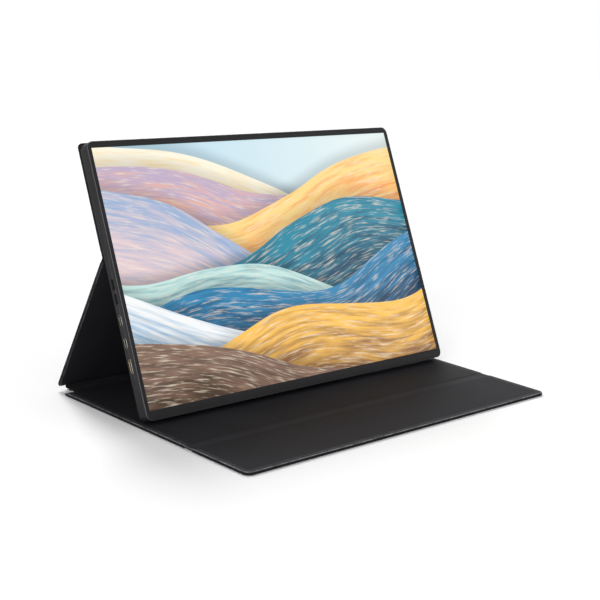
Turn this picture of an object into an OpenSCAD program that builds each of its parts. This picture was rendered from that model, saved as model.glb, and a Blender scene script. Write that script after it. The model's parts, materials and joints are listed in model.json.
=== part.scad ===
// Portable monitor standing in its folding cover.
// The cover holds the monitor by magnets on its upper back panel. Its leg folds
// out behind, and its base lies under the monitor and ends in a front flap.
// The origin is on the floor, at the middle of the footprint. +X runs along the
// screen to its right, +Y points behind the screen and +Z points up.

/* [Monitor] */
// Width of the monitor
monitor_w = 352; // [335:1:370]
// Height of the monitor, from bottom edge to top edge
monitor_h = 228.8; // [215:0.1:245]
// Thickness of the monitor, from front to back
monitor_t = 10.8; // [10.6:0.1:12.4]
// Radius of the four corners of the monitor, seen from the front
corner_r = 6; // [5:0.5:9]
// Radius along the edges of the monitor's back
back_edge_r = 1; // [0.7:0.1:1.2]
// Thickness of the housing's side walls
wall_t = 1.3; // [1.2:0.05:1.5]
// Thickness of the housing's back wall
back_t = 1.2; // [1.1:0.1:1.5]

/* [Front bezel] */
// Width of the black border beside the picture
bezel_side = 3.9; // [3.8:0.1:6]
// Width of the border above the picture
bezel_top = 5.5; // [4:0.1:8]
// Width of the border below the picture
bezel_bottom = 8.2; // [7.8:0.1:12]
// Thickness of the bezel's front plate
bezel_t = 0.9; // [0.7:0.05:1.1]
// Thickness of the lip that the bezel plugs into the housing
lip_t = 0.9; // [0.7:0.05:1]
// Depth of the lip behind the bezel's front plate
lip_d = 2.4; // [1.5:0.1:2.6]
// Clearance between parts that slip into each other
slip_gap = 0.1; // [0.05:0.01:0.12]

/* [Display panel] */
// Thickness of the tape between the bezel and the glass cell
tape_t = 0.2; // [0.1:0.05:0.3]
// Thickness of the glass cell
cell_t = 1; // [0.8:0.05:1.2]
// Thickness of the diffuser films
films_t = 0.4; // [0.3:0.05:0.5]
// Thickness of the light guide
guide_t = 0.6; // [0.6:0.05:0.8]
// Thickness of the white reflector sheet
reflector_t = 0.2; // [0.15:0.05:0.25]
// Thickness of the panel's metal tray
tray_t = 0.3; // [0.25:0.05:0.4]
// Overlap of the glass cell behind the border, at the sides and the top
cell_edge = 1.3; // [0.8:0.05:1.3]
// Overlap of the glass cell behind the border, at the bottom
cell_foot = 4; // [3.6:0.1:4.2]
// Number of diodes along the light strip
led_count = 36; // [12:2:48]
// Height of the board behind the bottom of the panel
panel_board_h = 8; // [6:0.5:12]
// Thickness of the board behind the bottom of the panel
panel_board_t = 0.6; // [0.5:0.05:0.8]

/* [Sockets] */
// Depth of the sockets' and buttons' middle behind the monitor's front
port_depth = 6.7; // [6.5:0.05:6.8]
// Long side of a USB-C socket's shell
usb_w = 8.94; // [8.9:0.01:9.1]
// Short side of a USB-C socket's shell
usb_h = 3.26; // [3.2:0.01:3.3]
// Length of a USB-C socket, from mouth to back
usb_l = 7.3; // [6.5:0.1:9]
// Thickness of a socket's metal shell
shell_t = 0.3; // [0.2:0.05:0.35]
// Height of the upper USB-C socket above the monitor's bottom edge
usb_upper_z = 82.7; // [80:0.1:84]
// Height of the lower USB-C socket above the monitor's bottom edge
usb_lower_z = 64.5; // [62:0.1:68]
// Long side of the mini HDMI socket's shell
hdmi_w = 11.2; // [11:0.1:11.6]
// Short side of the mini HDMI socket's shell
hdmi_h = 3.2; // [3:0.05:3.3]
// Length of the mini HDMI socket, from mouth to back
hdmi_l = 7.5; // [6.5:0.1:9]
// Height of the mini HDMI socket above the monitor's bottom edge
hdmi_z = 45.5; // [44:0.1:48]

/* [Buttons] */
// Length of the power button
power_l = 9; // [7:0.1:9.6]
// Height of the power button above the monitor's bottom edge
power_z = 112; // [111.5:0.1:113]
// Length of the menu rocker
rocker_l = 8.6; // [7:0.1:9]
// Height of the menu rocker above the monitor's bottom edge
rocker_z = 100.2; // [98:0.1:100.6]
// Width of both buttons, front to back
button_w = 2.8; // [2.4:0.1:3]
// Distance by which both buttons stand out of the side
button_proud = 0.3; // [0.1:0.05:0.6]
// Travel of the power button
button_travel = 0.3; // [0.2:0.05:0.4]
// Clearance around both buttons
button_gap = 0.2; // [0.15:0.05:0.3]

/* [Boards and speakers] */
// Width of the main board
main_board_w = 88; // [86:1:110]
// Height of the main board's bottom edge above the monitor's bottom edge
main_board_z = 34; // [30:0.5:36]
// Height of the main board
main_board_h = 88; // [86:0.5:92]
// Thickness of the main board
main_board_t = 1; // [0.8:0.05:1.2]
// Radius of a board screw's shank
screw_r = 0.95; // [0.8:0.05:1.1]
// Length of a speaker
speaker_l = 42; // [30:1:43]
// Height of a speaker
speaker_h = 14; // [10:0.5:16]
// Distance from the monitor's side to the middle of the speaker beside it
speaker_x = 36; // [31:1:37]

/* [Cover] */
// Thickness of each cover panel
cover_t = 2.8; // [2.4:0.1:3.4]
// Thickness of the outer skin
skin_t = 0.6; // [0.4:0.05:0.8]
// Thickness of the inner lining
lining_t = 0.5; // [0.3:0.05:0.7]
// Width of the skin's hem around each lining
hem_w = 1.6; // [1.2:0.1:2]
// Width of the back panel and the leg
back_w = 350; // [340:1:358]
// Width of the base and the front flap
base_w = 356; // [352:1:370]
// Radius of the flap's free corners
flap_corner_r = 6.5; // [3:0.5:8]
// Radius of the back panel's top corners
back_corner_r = 4; // [3:0.5:8]
// Radius of the corners at the leg's foot
leg_corner_r = 2.5; // [2:0.1:4]
// Radius of the other corners beside a fold
fold_corner_r = 0.6; // [0.5:0.1:2]
// Height of the back panel above the monitor's top edge
back_over = 1.8; // [0:0.1:4]
// Height up the monitor's back at which the leg folds out
back_fold_h = 135.4; // [132:0.1:140]
// Distance by which the foot stands further back than a leg of equal reach would
foot_out = 3.1; // [0:0.1:4]
// Depth of the spine, from the leg's foot fold to the base's rear fold
spine_d = 13; // [12.4:0.1:16]
// Depth of the base, from its rear fold to the front crease
main_d = 166.5; // [155:0.5:175]
// Depth of the front flap, from the crease to its free edge
flap_d = 68; // [60:0.5:85]
// Distance from a fold line to the panels beside it
fold_half = 3.2; // [3.1:0.1:3.6]
// Thickness of the bare leather at the folds
fold_t = 1.4; // [1.1:0.05:1.6]
// Distance by which the spine and its folds stop short of the leg's sides
fold_inset = 8.5; // [3:0.5:12]
// Clearance between a fold's bead and the panel that turns on it
fold_gap = 0.3; // [0.25:0.05:0.4]

/* [Stand] */
// Angle by which the screen leans back
tilt = 24; // [20:0.5:28]
// Clearance between the monitor's bottom edge and the base
rest_gap = 0.3; // [0.25:0.05:0.4]
// Clearance between the monitor's back and the back panel's lining
mount_gap = 0.2; // [0.15:0.05:0.3]
// Distance by which the monitor sits to the right of the cover's middle
monitor_shift = 1; // [0:0.5:2]
// Angle by which the leg swings each way from where it stands
leg_swing = 12; // [6:1:12]
// Angle to which the front flap folds up
flap_swing = 110; // [60:5:110]
// Length of a holding magnet
magnet_l = 20; // [14:1:24]
// Width of a holding magnet
magnet_w = 6; // [4:0.5:8]
// Thickness of a holding magnet
magnet_t = 1.5; // [1:0.1:1.6]

/* [Hidden] */
$fn = 48;
eps = 0.01;

// Depths behind the monitor's front face
cell_y = bezel_t + tape_t;
films_y = cell_y + cell_t;
guide_y = films_y + films_t;
reflector_y = guide_y + guide_t;
tray_y = reflector_y + reflector_t;
panel_back_y = tray_y + tray_t;
inner_back_y = monitor_t - back_t;
board_y = port_depth - main_board_t - slip_gap;
board_back_y = board_y + main_board_t;

// Sizes of the picture and of the glass cell
active_w = monitor_w - 2 * bezel_side;
active_h = monitor_h - bezel_top - bezel_bottom;
cell_w = active_w + 2 * cell_edge;
cell_z = bezel_bottom - cell_foot;
cell_h = active_h + cell_foot + cell_edge;

// Distance from the monitor's sides to the inside of the bezel's lip
lip_in = wall_t + slip_gap + lip_t;

// Inside of the panel's tray
tray_wall = 0.4;
tray_in = tray_wall + slip_gap;
strip_t = 0.3;
led_l = 3;
led_d = 0.5;
led_h = 0.8;
strip_z = cell_z + tray_wall;
led_z = strip_z + strip_t;
guide_z = led_z + led_h + slip_gap;
guide_h = cell_z + cell_h - tray_in - guide_z;

// The board behind the panel, and the films that bend round to it
panel_board_in = 40;
panel_board_up = 0.8;
panel_board_w = active_w - 2 * panel_board_in;
panel_board_z = cell_z + panel_board_up;
panel_board_back_y = panel_back_y + panel_board_t;
film_t = 0.15;
film_w = 24;
film_count = 6;
film_drop = 0.2;
film_y0 = cell_y + cell_t / 2;
film_y1 = panel_back_y + panel_board_t / 2;
film_r = (film_y1 - film_y0) / 2;
film_z = cell_z - film_drop;

// The left side of the monitor and its main board
side_x = -monitor_w / 2;
inner_x = side_x + wall_t;
board_gap = 0.4;
board_x = inner_x + board_gap;
board_top_z = main_board_z + main_board_h;

// Sockets: how far the mouths sit in the side, and the tongues behind the mouths
mouth_set = 0.1;
tongue_set = 1;
socket_back_l = 1.5;
usb_tongue_w = 6.6;
usb_tongue_t = 0.7;
hdmi_tongue_w = 8;
hdmi_tongue_t = 0.8;

// Buttons: their flanges, and the switches behind them
flange_t = 0.6;
flange_lip = 0.7;
rocker_flange_gap = 0.4;
rocker_plunger_gap = 0.35;
switch_d = 2;
switch_w = 2.6;
switch_h = 2.4;
plunger_r = 0.7;
plunger_l = 0.9;
rocker_switch_step = 2.6;
switch_notch_gap = 1.2;
power_plunger_x = inner_x + slip_gap + flange_t + button_travel + slip_gap;
rocker_plunger_x = inner_x + rocker_flange_gap + flange_t + rocker_plunger_gap;

// Board screws, and the bosses that they turn into
screw_in_x = 8;
screw_in_z = 3;
screw_head_r = 1.8;
screw_head_t = 1;
screw_end_gap = 0.6;
screw_l = inner_back_y - board_y - screw_end_gap;
boss_r = 2.4;
thread_gap = 0.05;
screw_hole_gap = 0.2;
recess_l = 2;
recess_w = 0.4;
recess_d = 0.6;

// What the main board carries, measured from its lower left corner
chip_w = 14;
chip_t = 1.1;
chip_in = [48, 44];
can_w = 30;
can_h = 22;
can_t = 1.7;
can_in = [30, 8];
coil_w = 5;
coil_t = 2.2;
coil_gap = 3;
coil_count = 3;
coil_in = 26;
coil_above_usb = 8;
lead_plug = [5, 3, 4];
lead_plug_in = 16.5;
lead_plug_z = main_board_z + 1;

// The flat cable from the main board to the board behind the panel
cable_w = 14;
cable_t = 0.3;
cable_in = 22;
cable_lap = 12;
cable_x = board_x + main_board_w - cable_in;
cable_z0 = panel_board_z + 1.5;
cable_z1 = main_board_z + cable_lap;
connector_h = 4;
connector_rim = 1;

// Speakers, their slots in the bottom wall and their leads
speaker_clear = 0.8;
speaker_y = panel_board_back_y + speaker_clear;
speaker_mid_x = monitor_w / 2 - speaker_x;
slot_w = 1.4;
slot_d = 2.4;
slot_step = 2.8;
slot_margin = 5;
lead_r = 0.5;
lead_rise = 8;
lead_run_z = speaker_h + wall_t + lead_rise;

// Ribs across the housing's back wall, and the rows of holding magnets
rib_t = 1.2;
rib_x = active_w / 4;
magnet_columns = [-1.5, -0.5, 0.5, 1.5];
magnet_step = 76;
magnet_rows = [0.25, 0.75];

// The stand: where the folds lie, from the monitor's bottom front edge
lean_s = sin(tilt);
lean_c = cos(tilt);
edge_z = cover_t + rest_gap + back_edge_r
    - back_edge_r * lean_c + (monitor_t - back_edge_r) * lean_s;
contact_y = back_edge_r * lean_s + (monitor_t - back_edge_r) * lean_c;
mid_depth = monitor_t + mount_gap + cover_t / 2;
mid_y = back_fold_h * lean_s + mid_depth * lean_c;
mid_z = edge_z + back_fold_h * lean_c - mid_depth * lean_s;
foot_y = 2 * mid_y - contact_y + foot_out;
fold_z = cover_t / 2;
leg_len = norm([foot_y - mid_y, mid_z - fold_z]);
leg_lean = atan2(foot_y - mid_y, mid_z - fold_z);
spine_y = foot_y - spine_d;
crease_y = spine_y - main_d;
front_y = crease_y - flap_d;
rear_y = foot_y + fold_t / 2;
middle_y = (front_y + rear_y) / 2;
spine_w = back_w - 2 * fold_inset;
spine_r = 1;
sheet_r = 0.4;
back_panel_h = monitor_h + back_over - back_fold_h;

// The monitor's bottom edge stays at one height while the leg swings if the
// back panel turns on the leg by this many times the leg's own turn
fold_ratio = 1 + (foot_y - mid_y) / (mid_y - contact_y);

// How far from a fold line the leather beyond the bead starts, so that it stays
// clear of the bead's own leather when the two make the sharpest angle
function tongue_start(sharpest) = max(fold_t / 2 + fold_gap,
    (fold_t / 2 * (1 + cos(sharpest)) + fold_gap) / sin(sharpest));
foot_start = tongue_start(90 - leg_lean - leg_swing);
mid_start = tongue_start(180 - tilt - leg_lean - fold_ratio * leg_swing);
flap_start = tongue_start(180 - flap_swing);

// ---- frames of reference ----

// The back panel and whatever moves with it, with the monitor's bottom front
// edge as its origin: y is the depth behind the front, z runs up the screen.
module in_screen() {
    translate([0, -middle_y, edge_z]) rotate([-tilt, 0, 0]) children();
}

module in_monitor() {
    in_screen() translate([monitor_shift, 0, 0]) children();
}

// Cover panels are drawn lying on the floor: y runs away from the near edge and
// z runs from the outer skin, at 0, to the lining.
module at_back_panel() {
    in_screen()
        translate([0, monitor_t + mount_gap + cover_t, back_fold_h])
            rotate([90, 0, 0]) children();
}

module at_leg() {
    translate([0, foot_y - middle_y, fold_z])
        rotate([90 + leg_lean, 0, 0])
            translate([0, 0, -cover_t / 2]) children();
}

module at_floor(y) {
    translate([0, y - middle_y, 0]) children();
}

// ---- shared shapes ----

// A rectangle, centred in x, with one radius at its near and one at its far end
module rounded_sheet(w, d, near_r, far_r) {
    half = d / 2;
    translate([-w / 2 + near_r, 0]) square([w - 2 * near_r, half]);
    translate([-w / 2 + far_r, half]) square([w - 2 * far_r, half]);
    translate([-w / 2, near_r]) square([w, d - near_r - far_r]);
    for (side = [-1, 1]) {
        translate([side * (w / 2 - near_r), near_r]) circle(near_r);
        translate([side * (w / 2 - far_r), d - far_r]) circle(far_r);
    }
}

// The monitor's outline, drawn in by a margin and given a depth from y to y + d
module monitor_plate(margin, y, d) {
    r = corner_r - margin;
    translate([0, y + d, margin]) rotate([90, 0, 0]) linear_extrude(d)
        rounded_sheet(monitor_w - 2 * margin, monitor_h - 2 * margin, r, r);
}

// A box given by its middle in x, its near depth, its foot and its size
module block(x, y, z, size) {
    translate([x - size[0] / 2, y, z]) cube(size);
}

// A slot-shaped bar along +x: long up the screen, thin from front to back
module slot_bar(x, z, length, long, thin) {
    r = thin / 2;
    translate([x, port_depth, z]) rotate([0, 90, 0]) linear_extrude(length) {
        square([long - thin, thin], center = true);
        for (end = [-1, 1]) translate([end * (long - thin) / 2, 0]) circle(r);
    }
}

// A bar along +x with the slanted lower corners of a mini HDMI plug
module hdmi_bar(x, length, w, h) {
    slant = h * 0.35;
    translate([x, port_depth, hdmi_z]) rotate([0, 90, 0])
        linear_extrude(length) polygon([
            [-w / 2, -h / 2], [w / 2, -h / 2], [w / 2, h / 2 - slant],
            [w / 2 - slant, h / 2], [-w / 2 + slant, h / 2],
            [-w / 2, h / 2 - slant]
        ]);
}

// Places its children at the four board screws
module at_screws() {
    for (x = [board_x + screw_in_x, board_x + main_board_w - screw_in_x])
        for (z = [main_board_z + screw_in_z, board_top_z - screw_in_z])
            translate([x, 0, z]) rotate([-90, 0, 0]) children();
}

// ---- front bezel and display panel ----

module front_bezel() {
    color([0.13, 0.13, 0.14]) in_monitor() difference() {
        union() {
            monitor_plate(0, 0, bezel_t);
            monitor_plate(wall_t + slip_gap, bezel_t - eps, lip_d + eps);
        }
        block(0, bezel_t, lip_in,
            [monitor_w - 2 * lip_in, lip_d + 1, monitor_h - 2 * lip_in]);
        block(0, -1, bezel_bottom, [active_w, bezel_t + 2, active_h]);
    }
}

module cell_frame(y, d) {
    block(0, y, cell_z, [cell_w, d, cell_h]);
}

module bezel_tape() {
    rim = 0.4;
    color([0.05, 0.05, 0.05]) in_monitor() difference() {
        cell_frame(bezel_t, tape_t);
        block(0, bezel_t - 1, bezel_bottom - rim,
            [active_w + 2 * rim, tape_t + 2, active_h + 2 * rim]);
    }
}

module lcd_cell() {
    color([0.35, 0.55, 0.65]) in_monitor() cell_frame(cell_y, cell_t);
}

// A sheet that lies inside the walls of the tray, above the diodes
module tray_sheet(y, t) {
    block(0, y, guide_z, [cell_w - 2 * tray_in, t, guide_h]);
}

module diffuser_films() {
    color([0.92, 0.93, 0.95]) in_monitor() tray_sheet(films_y, films_t);
}

module light_guide() {
    color([0.85, 0.92, 0.95]) in_monitor() tray_sheet(guide_y, guide_t);
}

module reflector_sheet() {
    color([0.97, 0.97, 0.97]) in_monitor() tray_sheet(reflector_y, reflector_t);
}

module led_strip() {
    color([0.85, 0.8, 0.55]) in_monitor()
        block(0, films_y, strip_z,
            [cell_w - 2 * tray_in, tray_y - films_y, strip_t]);
}

module leds() {
    step = active_w / led_count;
    color([1, 0.95, 0.6]) in_monitor() for (i = [0 : led_count - 1])
        block((i - (led_count - 1) / 2) * step, guide_y, led_z,
            [led_l, led_d, led_h]);
}

module panel_tray() {
    color([0.7, 0.71, 0.73]) in_monitor() difference() {
        cell_frame(films_y, panel_back_y - films_y);
        block(0, films_y - 1, cell_z + tray_wall,
            [cell_w - 2 * tray_wall, tray_y - films_y + 1,
             cell_h - 2 * tray_wall]);
    }
}

module panel_board() {
    color([0.1, 0.35, 0.2]) in_monitor()
        block(0, panel_back_y, panel_board_z,
            [panel_board_w, panel_board_t, panel_board_h]);
}

// Thin films that carry the picture's rows and columns from the glass, round
// under the tray, to the board behind it
module driver_films() {
    step = panel_board_w / film_count;
    middle = (film_y0 + film_y1) / 2;
    color([0.75, 0.5, 0.15]) in_monitor() for (i = [0 : film_count - 1])
        translate([(i - (film_count - 1) / 2) * step - film_w / 2, 0, 0]) {
            translate([0, middle, film_z]) rotate([90, 0, 90])
                linear_extrude(film_w) difference() {
                    circle(film_r + film_t / 2);
                    circle(film_r - film_t / 2);
                    translate([-film_r * 2, 0]) square(film_r * 4);
                }
            translate([0, film_y0 - film_t / 2, film_z])
                cube([film_w, film_t, cell_z - film_z]);
            translate([0, film_y1 - film_t / 2, film_z])
                cube([film_w, film_t, panel_board_z - film_z]);
        }
}

module panel_cable() {
    color([0.85, 0.85, 0.8]) in_monitor()
        block(cable_x, board_y - cable_t, cable_z0,
            [cable_w, cable_t, cable_z1 - cable_z0]);
}

// ---- housing ----

module housing_block() {
    depth = monitor_t - bezel_t;
    r = back_edge_r;
    intersection() {
        monitor_plate(0, bezel_t, depth);
        // rounds the top and bottom back edges
        translate([-monitor_w, bezel_t, 0]) rotate([90, 0, 90])
            linear_extrude(2 * monitor_w) {
                square([depth - r, monitor_h]);
                translate([0, r]) square([depth, monitor_h - 2 * r]);
                for (z = [r, monitor_h - r]) translate([depth - r, z]) circle(r);
            }
        // rounds the left and right back edges
        translate([0, bezel_t, -1]) linear_extrude(monitor_h + 2) {
            translate([side_x, 0]) square([monitor_w, depth - r]);
            translate([side_x + r, 0]) square([monitor_w - 2 * r, depth]);
            for (side = [-1, 1])
                translate([side * (monitor_w / 2 - r), depth - r]) circle(r);
        }
    }
}

module speaker_slots() {
    count = floor((speaker_l - 2 * slot_margin) / slot_step);
    for (side = [-1, 1]) for (i = [0 : count - 1])
        block(side * speaker_mid_x + (i - (count - 1) / 2) * slot_step,
            port_depth - slot_d / 2, -1, [slot_w, slot_d, wall_t + 2]);
}

module rear_housing() {
    hole = 2 * slip_gap;
    color([0.24, 0.24, 0.25]) in_monitor() {
        difference() {
            housing_block();
            difference() {
                monitor_plate(wall_t, bezel_t - 1, inner_back_y - bezel_t + 1);
                for (x = [-rib_x, 0, rib_x])
                    block(x, panel_back_y, back_fold_h,
                        [rib_t, monitor_t, monitor_h]);
            }
            for (z = [usb_upper_z, usb_lower_z])
                slot_bar(side_x - 1, z, wall_t + 2, usb_w + hole, usb_h + hole);
            hdmi_bar(side_x - 1, wall_t + 2, hdmi_w + hole, hdmi_h + hole);
            slot_bar(side_x - 1, power_z, wall_t + 2,
                power_l + 2 * button_gap, button_w + 2 * button_gap);
            slot_bar(side_x - 1, rocker_z, wall_t + 2,
                rocker_l + 2 * button_gap, button_w + 2 * button_gap);
            speaker_slots();
        }
        at_screws() translate([0, 0, board_back_y]) difference() {
            cylinder(r = boss_r, h = inner_back_y - board_back_y + eps);
            translate([0, 0, -1])
                cylinder(r = screw_r + thread_gap,
                    h = inner_back_y - board_back_y + 1);
        }
    }
}

// ---- main board and what it carries ----

module main_board() {
    reach = 2 * slip_gap;
    button_reach = rocker_plunger_x + plunger_l + switch_d + slip_gap;
    color([0.08, 0.3, 0.2]) in_monitor() difference() {
        translate([board_x, board_y, main_board_z])
            cube([main_board_w, main_board_t, main_board_h]);
        for (z = [usb_upper_z, usb_lower_z])
            translate([side_x, board_y - 1, z - usb_w / 2 - slip_gap])
                cube([usb_l + mouth_set + reach, main_board_t + 2,
                      usb_w + reach]);
        translate([side_x, board_y - 1, hdmi_z - hdmi_w / 2 - slip_gap])
            cube([hdmi_l + mouth_set + reach, main_board_t + 2, hdmi_w + reach]);
        translate([side_x, board_y - 1,
                   rocker_z - rocker_l / 2 - switch_notch_gap])
            cube([button_reach - side_x, main_board_t + 2,
                  board_top_z - rocker_z + rocker_l]);
        at_screws() translate([0, 0, board_y - 1])
            cylinder(r = screw_r + screw_hole_gap, h = main_board_t + 2);
    }
}

module board_screws() {
    color([0.75, 0.75, 0.77]) in_monitor() at_screws() {
        translate([0, 0, board_y - screw_head_t]) difference() {
            cylinder(r = screw_head_r, h = screw_head_t);
            for (turn = [0, 90]) rotate(turn)
                translate([-recess_l / 2, -recess_w / 2, -1])
                    cube([recess_l, recess_w, recess_d + 1]);
        }
        translate([0, 0, board_y - eps]) cylinder(r = screw_r, h = screw_l);
    }
}

module scaler_chip() {
    color([0.1, 0.1, 0.1]) in_monitor()
        block(board_x + chip_in[0], board_back_y, main_board_z + chip_in[1],
            [chip_w, chip_t, chip_w]);
}

module shield_can() {
    color([0.8, 0.8, 0.82]) in_monitor()
        block(board_x + can_in[0], board_back_y, main_board_z + can_in[1],
            [can_w, can_t, can_h]);
}

module board_coils() {
    color([0.3, 0.3, 0.33]) in_monitor() for (i = [0 : coil_count - 1])
        block(board_x + coil_in, board_back_y,
            usb_lower_z + coil_above_usb + i * (coil_w + coil_gap),
            [coil_w, coil_t, coil_w]);
}

// Where the left speaker's leads, at -1, and the right one's, at 1, are plugged in
function lead_plug_x(side) =
    board_x + main_board_w / 2 + side * (main_board_w / 2 - lead_plug_in);

// Blocks that the flat cable and the speaker leads plug into
module cable_connectors() {
    color([0.93, 0.9, 0.82]) in_monitor() {
        block(cable_x, panel_board_back_y, cable_z0,
            [cable_w + 2 * connector_rim, board_y - cable_t - panel_board_back_y,
             connector_h]);
        for (side = [-1, 1])
            block(lead_plug_x(side), board_back_y, lead_plug_z, lead_plug);
    }
}

module usb_c_shell(z) {
    color([0.75, 0.75, 0.76]) in_monitor() difference() {
        slot_bar(side_x + mouth_set, z, usb_l, usb_w, usb_h);
        slot_bar(side_x, z, usb_l + 1, usb_w - 2 * shell_t, usb_h - 2 * shell_t);
    }
}

// The flat tongue of a socket, from behind its mouth to its back block
module socket_tongue(z, length, w, t) {
    translate([side_x + mouth_set + tongue_set, port_depth - t / 2, z - w / 2])
        cube([length - socket_back_l - tongue_set + eps, t, w]);
}

module usb_c_tongue(z) {
    gap = 2 * shell_t + slip_gap;
    color([0.1, 0.1, 0.1]) in_monitor() {
        slot_bar(side_x + mouth_set + usb_l - socket_back_l, z, socket_back_l,
            usb_w - gap, usb_h - gap);
        socket_tongue(z, usb_l, usb_tongue_w, usb_tongue_t);
    }
}

module mini_hdmi_shell() {
    color([0.75, 0.6, 0.35]) in_monitor() difference() {
        hdmi_bar(side_x + mouth_set, hdmi_l, hdmi_w, hdmi_h);
        hdmi_bar(side_x, hdmi_l + 1, hdmi_w - 2 * shell_t, hdmi_h - 2 * shell_t);
    }
}

module mini_hdmi_tongue() {
    gap = 2 * shell_t + slip_gap;
    color([0.1, 0.1, 0.1]) in_monitor() {
        hdmi_bar(side_x + mouth_set + hdmi_l - socket_back_l, socket_back_l,
            hdmi_w - gap, hdmi_h - gap);
        socket_tongue(hdmi_z, hdmi_l, hdmi_tongue_w, hdmi_tongue_t);
    }
}

// ---- buttons and their switches ----

// A cap that stands out of the side, with a flange that keeps it in
module button_cap(z, l, flange_gap) {
    flange_x = inner_x + flange_gap;
    slot_bar(side_x - button_proud, z,
        flange_x - side_x + button_proud + eps, l, button_w);
    slot_bar(flange_x, z, flange_t, l + 2 * flange_lip,
        button_w + 2 * flange_lip);
}

module side_switch(z, plunger_x) {
    body_x = plunger_x + plunger_l;
    translate([plunger_x, port_depth, z]) rotate([0, 90, 0])
        cylinder(r = plunger_r, h = plunger_l + eps);
    translate([body_x, port_depth - switch_w / 2, z - switch_h / 2])
        cube([switch_d, switch_w, switch_h]);
}

module power_button() {
    color([0.2, 0.2, 0.21]) in_monitor()
        button_cap(power_z, power_l, slip_gap);
}

module power_switch() {
    color([0.15, 0.15, 0.15]) in_monitor() side_switch(power_z, power_plunger_x);
}

module menu_rocker() {
    color([0.2, 0.2, 0.21]) in_monitor()
        button_cap(rocker_z, rocker_l, rocker_flange_gap);
}

module menu_switches() {
    color([0.15, 0.15, 0.15]) in_monitor() for (end = [-1, 1])
        side_switch(rocker_z + end * rocker_switch_step, rocker_plunger_x);
}

// ---- speakers and magnets ----

module speaker(side) {
    color([0.12, 0.12, 0.12]) in_monitor()
        block(side * speaker_mid_x, speaker_y, wall_t,
            [speaker_l, inner_back_y - speaker_y, speaker_h]);
}

// Two leads along the housing's back wall, from each speaker's top up to its
// plug on the main board
module speaker_leads() {
    y = inner_back_y - lead_r;
    color([0.6, 0.1, 0.1]) in_monitor() for (side = [-1, 1]) {
        from_x = side * (speaker_mid_x - speaker_l / 4);
        to_x = lead_plug_x(side);
        span = abs(to_x - from_x);
        translate([from_x, y, speaker_h + wall_t])
            cylinder(r = lead_r, h = lead_run_z - speaker_h - wall_t);
        translate([min(from_x, to_x), y, lead_run_z]) rotate([0, 90, 0])
            cylinder(r = lead_r, h = span);
        translate([to_x, y, lead_run_z])
            cylinder(r = lead_r, h = lead_plug_z - lead_run_z);
        for (x = [from_x, to_x]) translate([x, y, lead_run_z]) sphere(lead_r);
    }
}

// Places its children at each magnet: z runs up the screen
module at_magnets() {
    for (column = magnet_columns) for (row = magnet_rows)
        translate([column * magnet_step, 0, back_fold_h + row * back_panel_h])
            children();
}

module housing_magnets() {
    color([0.6, 0.6, 0.62]) in_monitor() at_magnets()
        block(-monitor_shift, inner_back_y - magnet_t, -magnet_w / 2,
            [magnet_l, magnet_t, magnet_w]);
}

// ---- cover panels ----

// A panel's outline from its near gap to its far gap, drawn in by a margin
module panel_outline(w, d, near, far, near_r, far_r, margin) {
    translate([0, near + margin])
        rounded_sheet(w - 2 * margin, d - near - far - 2 * margin,
            max(near_r - margin, sheet_r), max(far_r - margin, sheet_r));
}

module panel_skin(w, d, near, far, near_r, far_r) {
    difference() {
        linear_extrude(cover_t)
            panel_outline(w, d, near, far, near_r, far_r, 0);
        translate([0, 0, skin_t]) linear_extrude(cover_t)
            panel_outline(w, d, near, far, near_r, far_r, hem_w);
    }
}

module panel_board_sheet(w, d, near, far, near_r, far_r) {
    translate([0, 0, skin_t]) linear_extrude(cover_t - skin_t - lining_t)
        panel_outline(w, d, near, far, near_r, far_r, hem_w + slip_gap);
}

module panel_lining(w, d, near, far, near_r, far_r) {
    translate([0, 0, cover_t - lining_t]) linear_extrude(lining_t)
        panel_outline(w, d, near, far, near_r, far_r, hem_w + slip_gap);
}

// The bead that a fold turns on, and the bare leather that joins it to the
// panel that starts at +y
module fold_bead(w, way) {
    web = fold_half;
    translate([-w / 2, 0, fold_z]) rotate([0, 90, 0])
        cylinder(d = fold_t, h = w);
    translate([-w / 2, way > 0 ? 0 : -web, fold_z - fold_t / 2])
        cube([w, web, fold_t]);
}

// The bare leather on the other side of a fold: it starts at the panel's edge,
// at y, and runs the given way until it is the start distance from the fold line
module fold_tongue(w, y, way, start) {
    reach = fold_half - start + eps;
    translate([-w / 2, way > 0 ? y - eps : y - reach + eps,
               fold_z - fold_t / 2])
        cube([w, reach, fold_t]);
}

module back_panel_skin() {
    color([0.14, 0.14, 0.15]) at_back_panel()
        panel_skin(back_w, back_panel_h, fold_half, 0,
            fold_corner_r, back_corner_r);
}

module back_panel_board() {
    color([0.55, 0.48, 0.38]) at_back_panel() difference() {
        panel_board_sheet(back_w, back_panel_h, fold_half, 0,
            fold_corner_r, back_corner_r);
        for (column = magnet_columns) for (row = magnet_rows)
            translate([column * magnet_step - magnet_l / 2 - slip_gap,
                       row * back_panel_h - magnet_w / 2 - slip_gap,
                       cover_t - lining_t - magnet_t])
                cube([magnet_l + 2 * slip_gap, magnet_w + 2 * slip_gap,
                      magnet_t + 1]);
    }
}

module back_panel_lining() {
    color([0.2, 0.2, 0.21]) at_back_panel()
        panel_lining(back_w, back_panel_h, fold_half, 0,
            fold_corner_r, back_corner_r);
}

module back_panel_magnets() {
    color([0.6, 0.6, 0.62]) at_back_panel()
        for (column = magnet_columns) for (row = magnet_rows)
            translate([column * magnet_step - magnet_l / 2,
                       row * back_panel_h - magnet_w / 2,
                       cover_t - lining_t - magnet_t])
                cube([magnet_l, magnet_w, magnet_t]);
}

module mid_fold() {
    color([0.1, 0.1, 0.11]) at_back_panel() fold_bead(back_w, 1);
}

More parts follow.
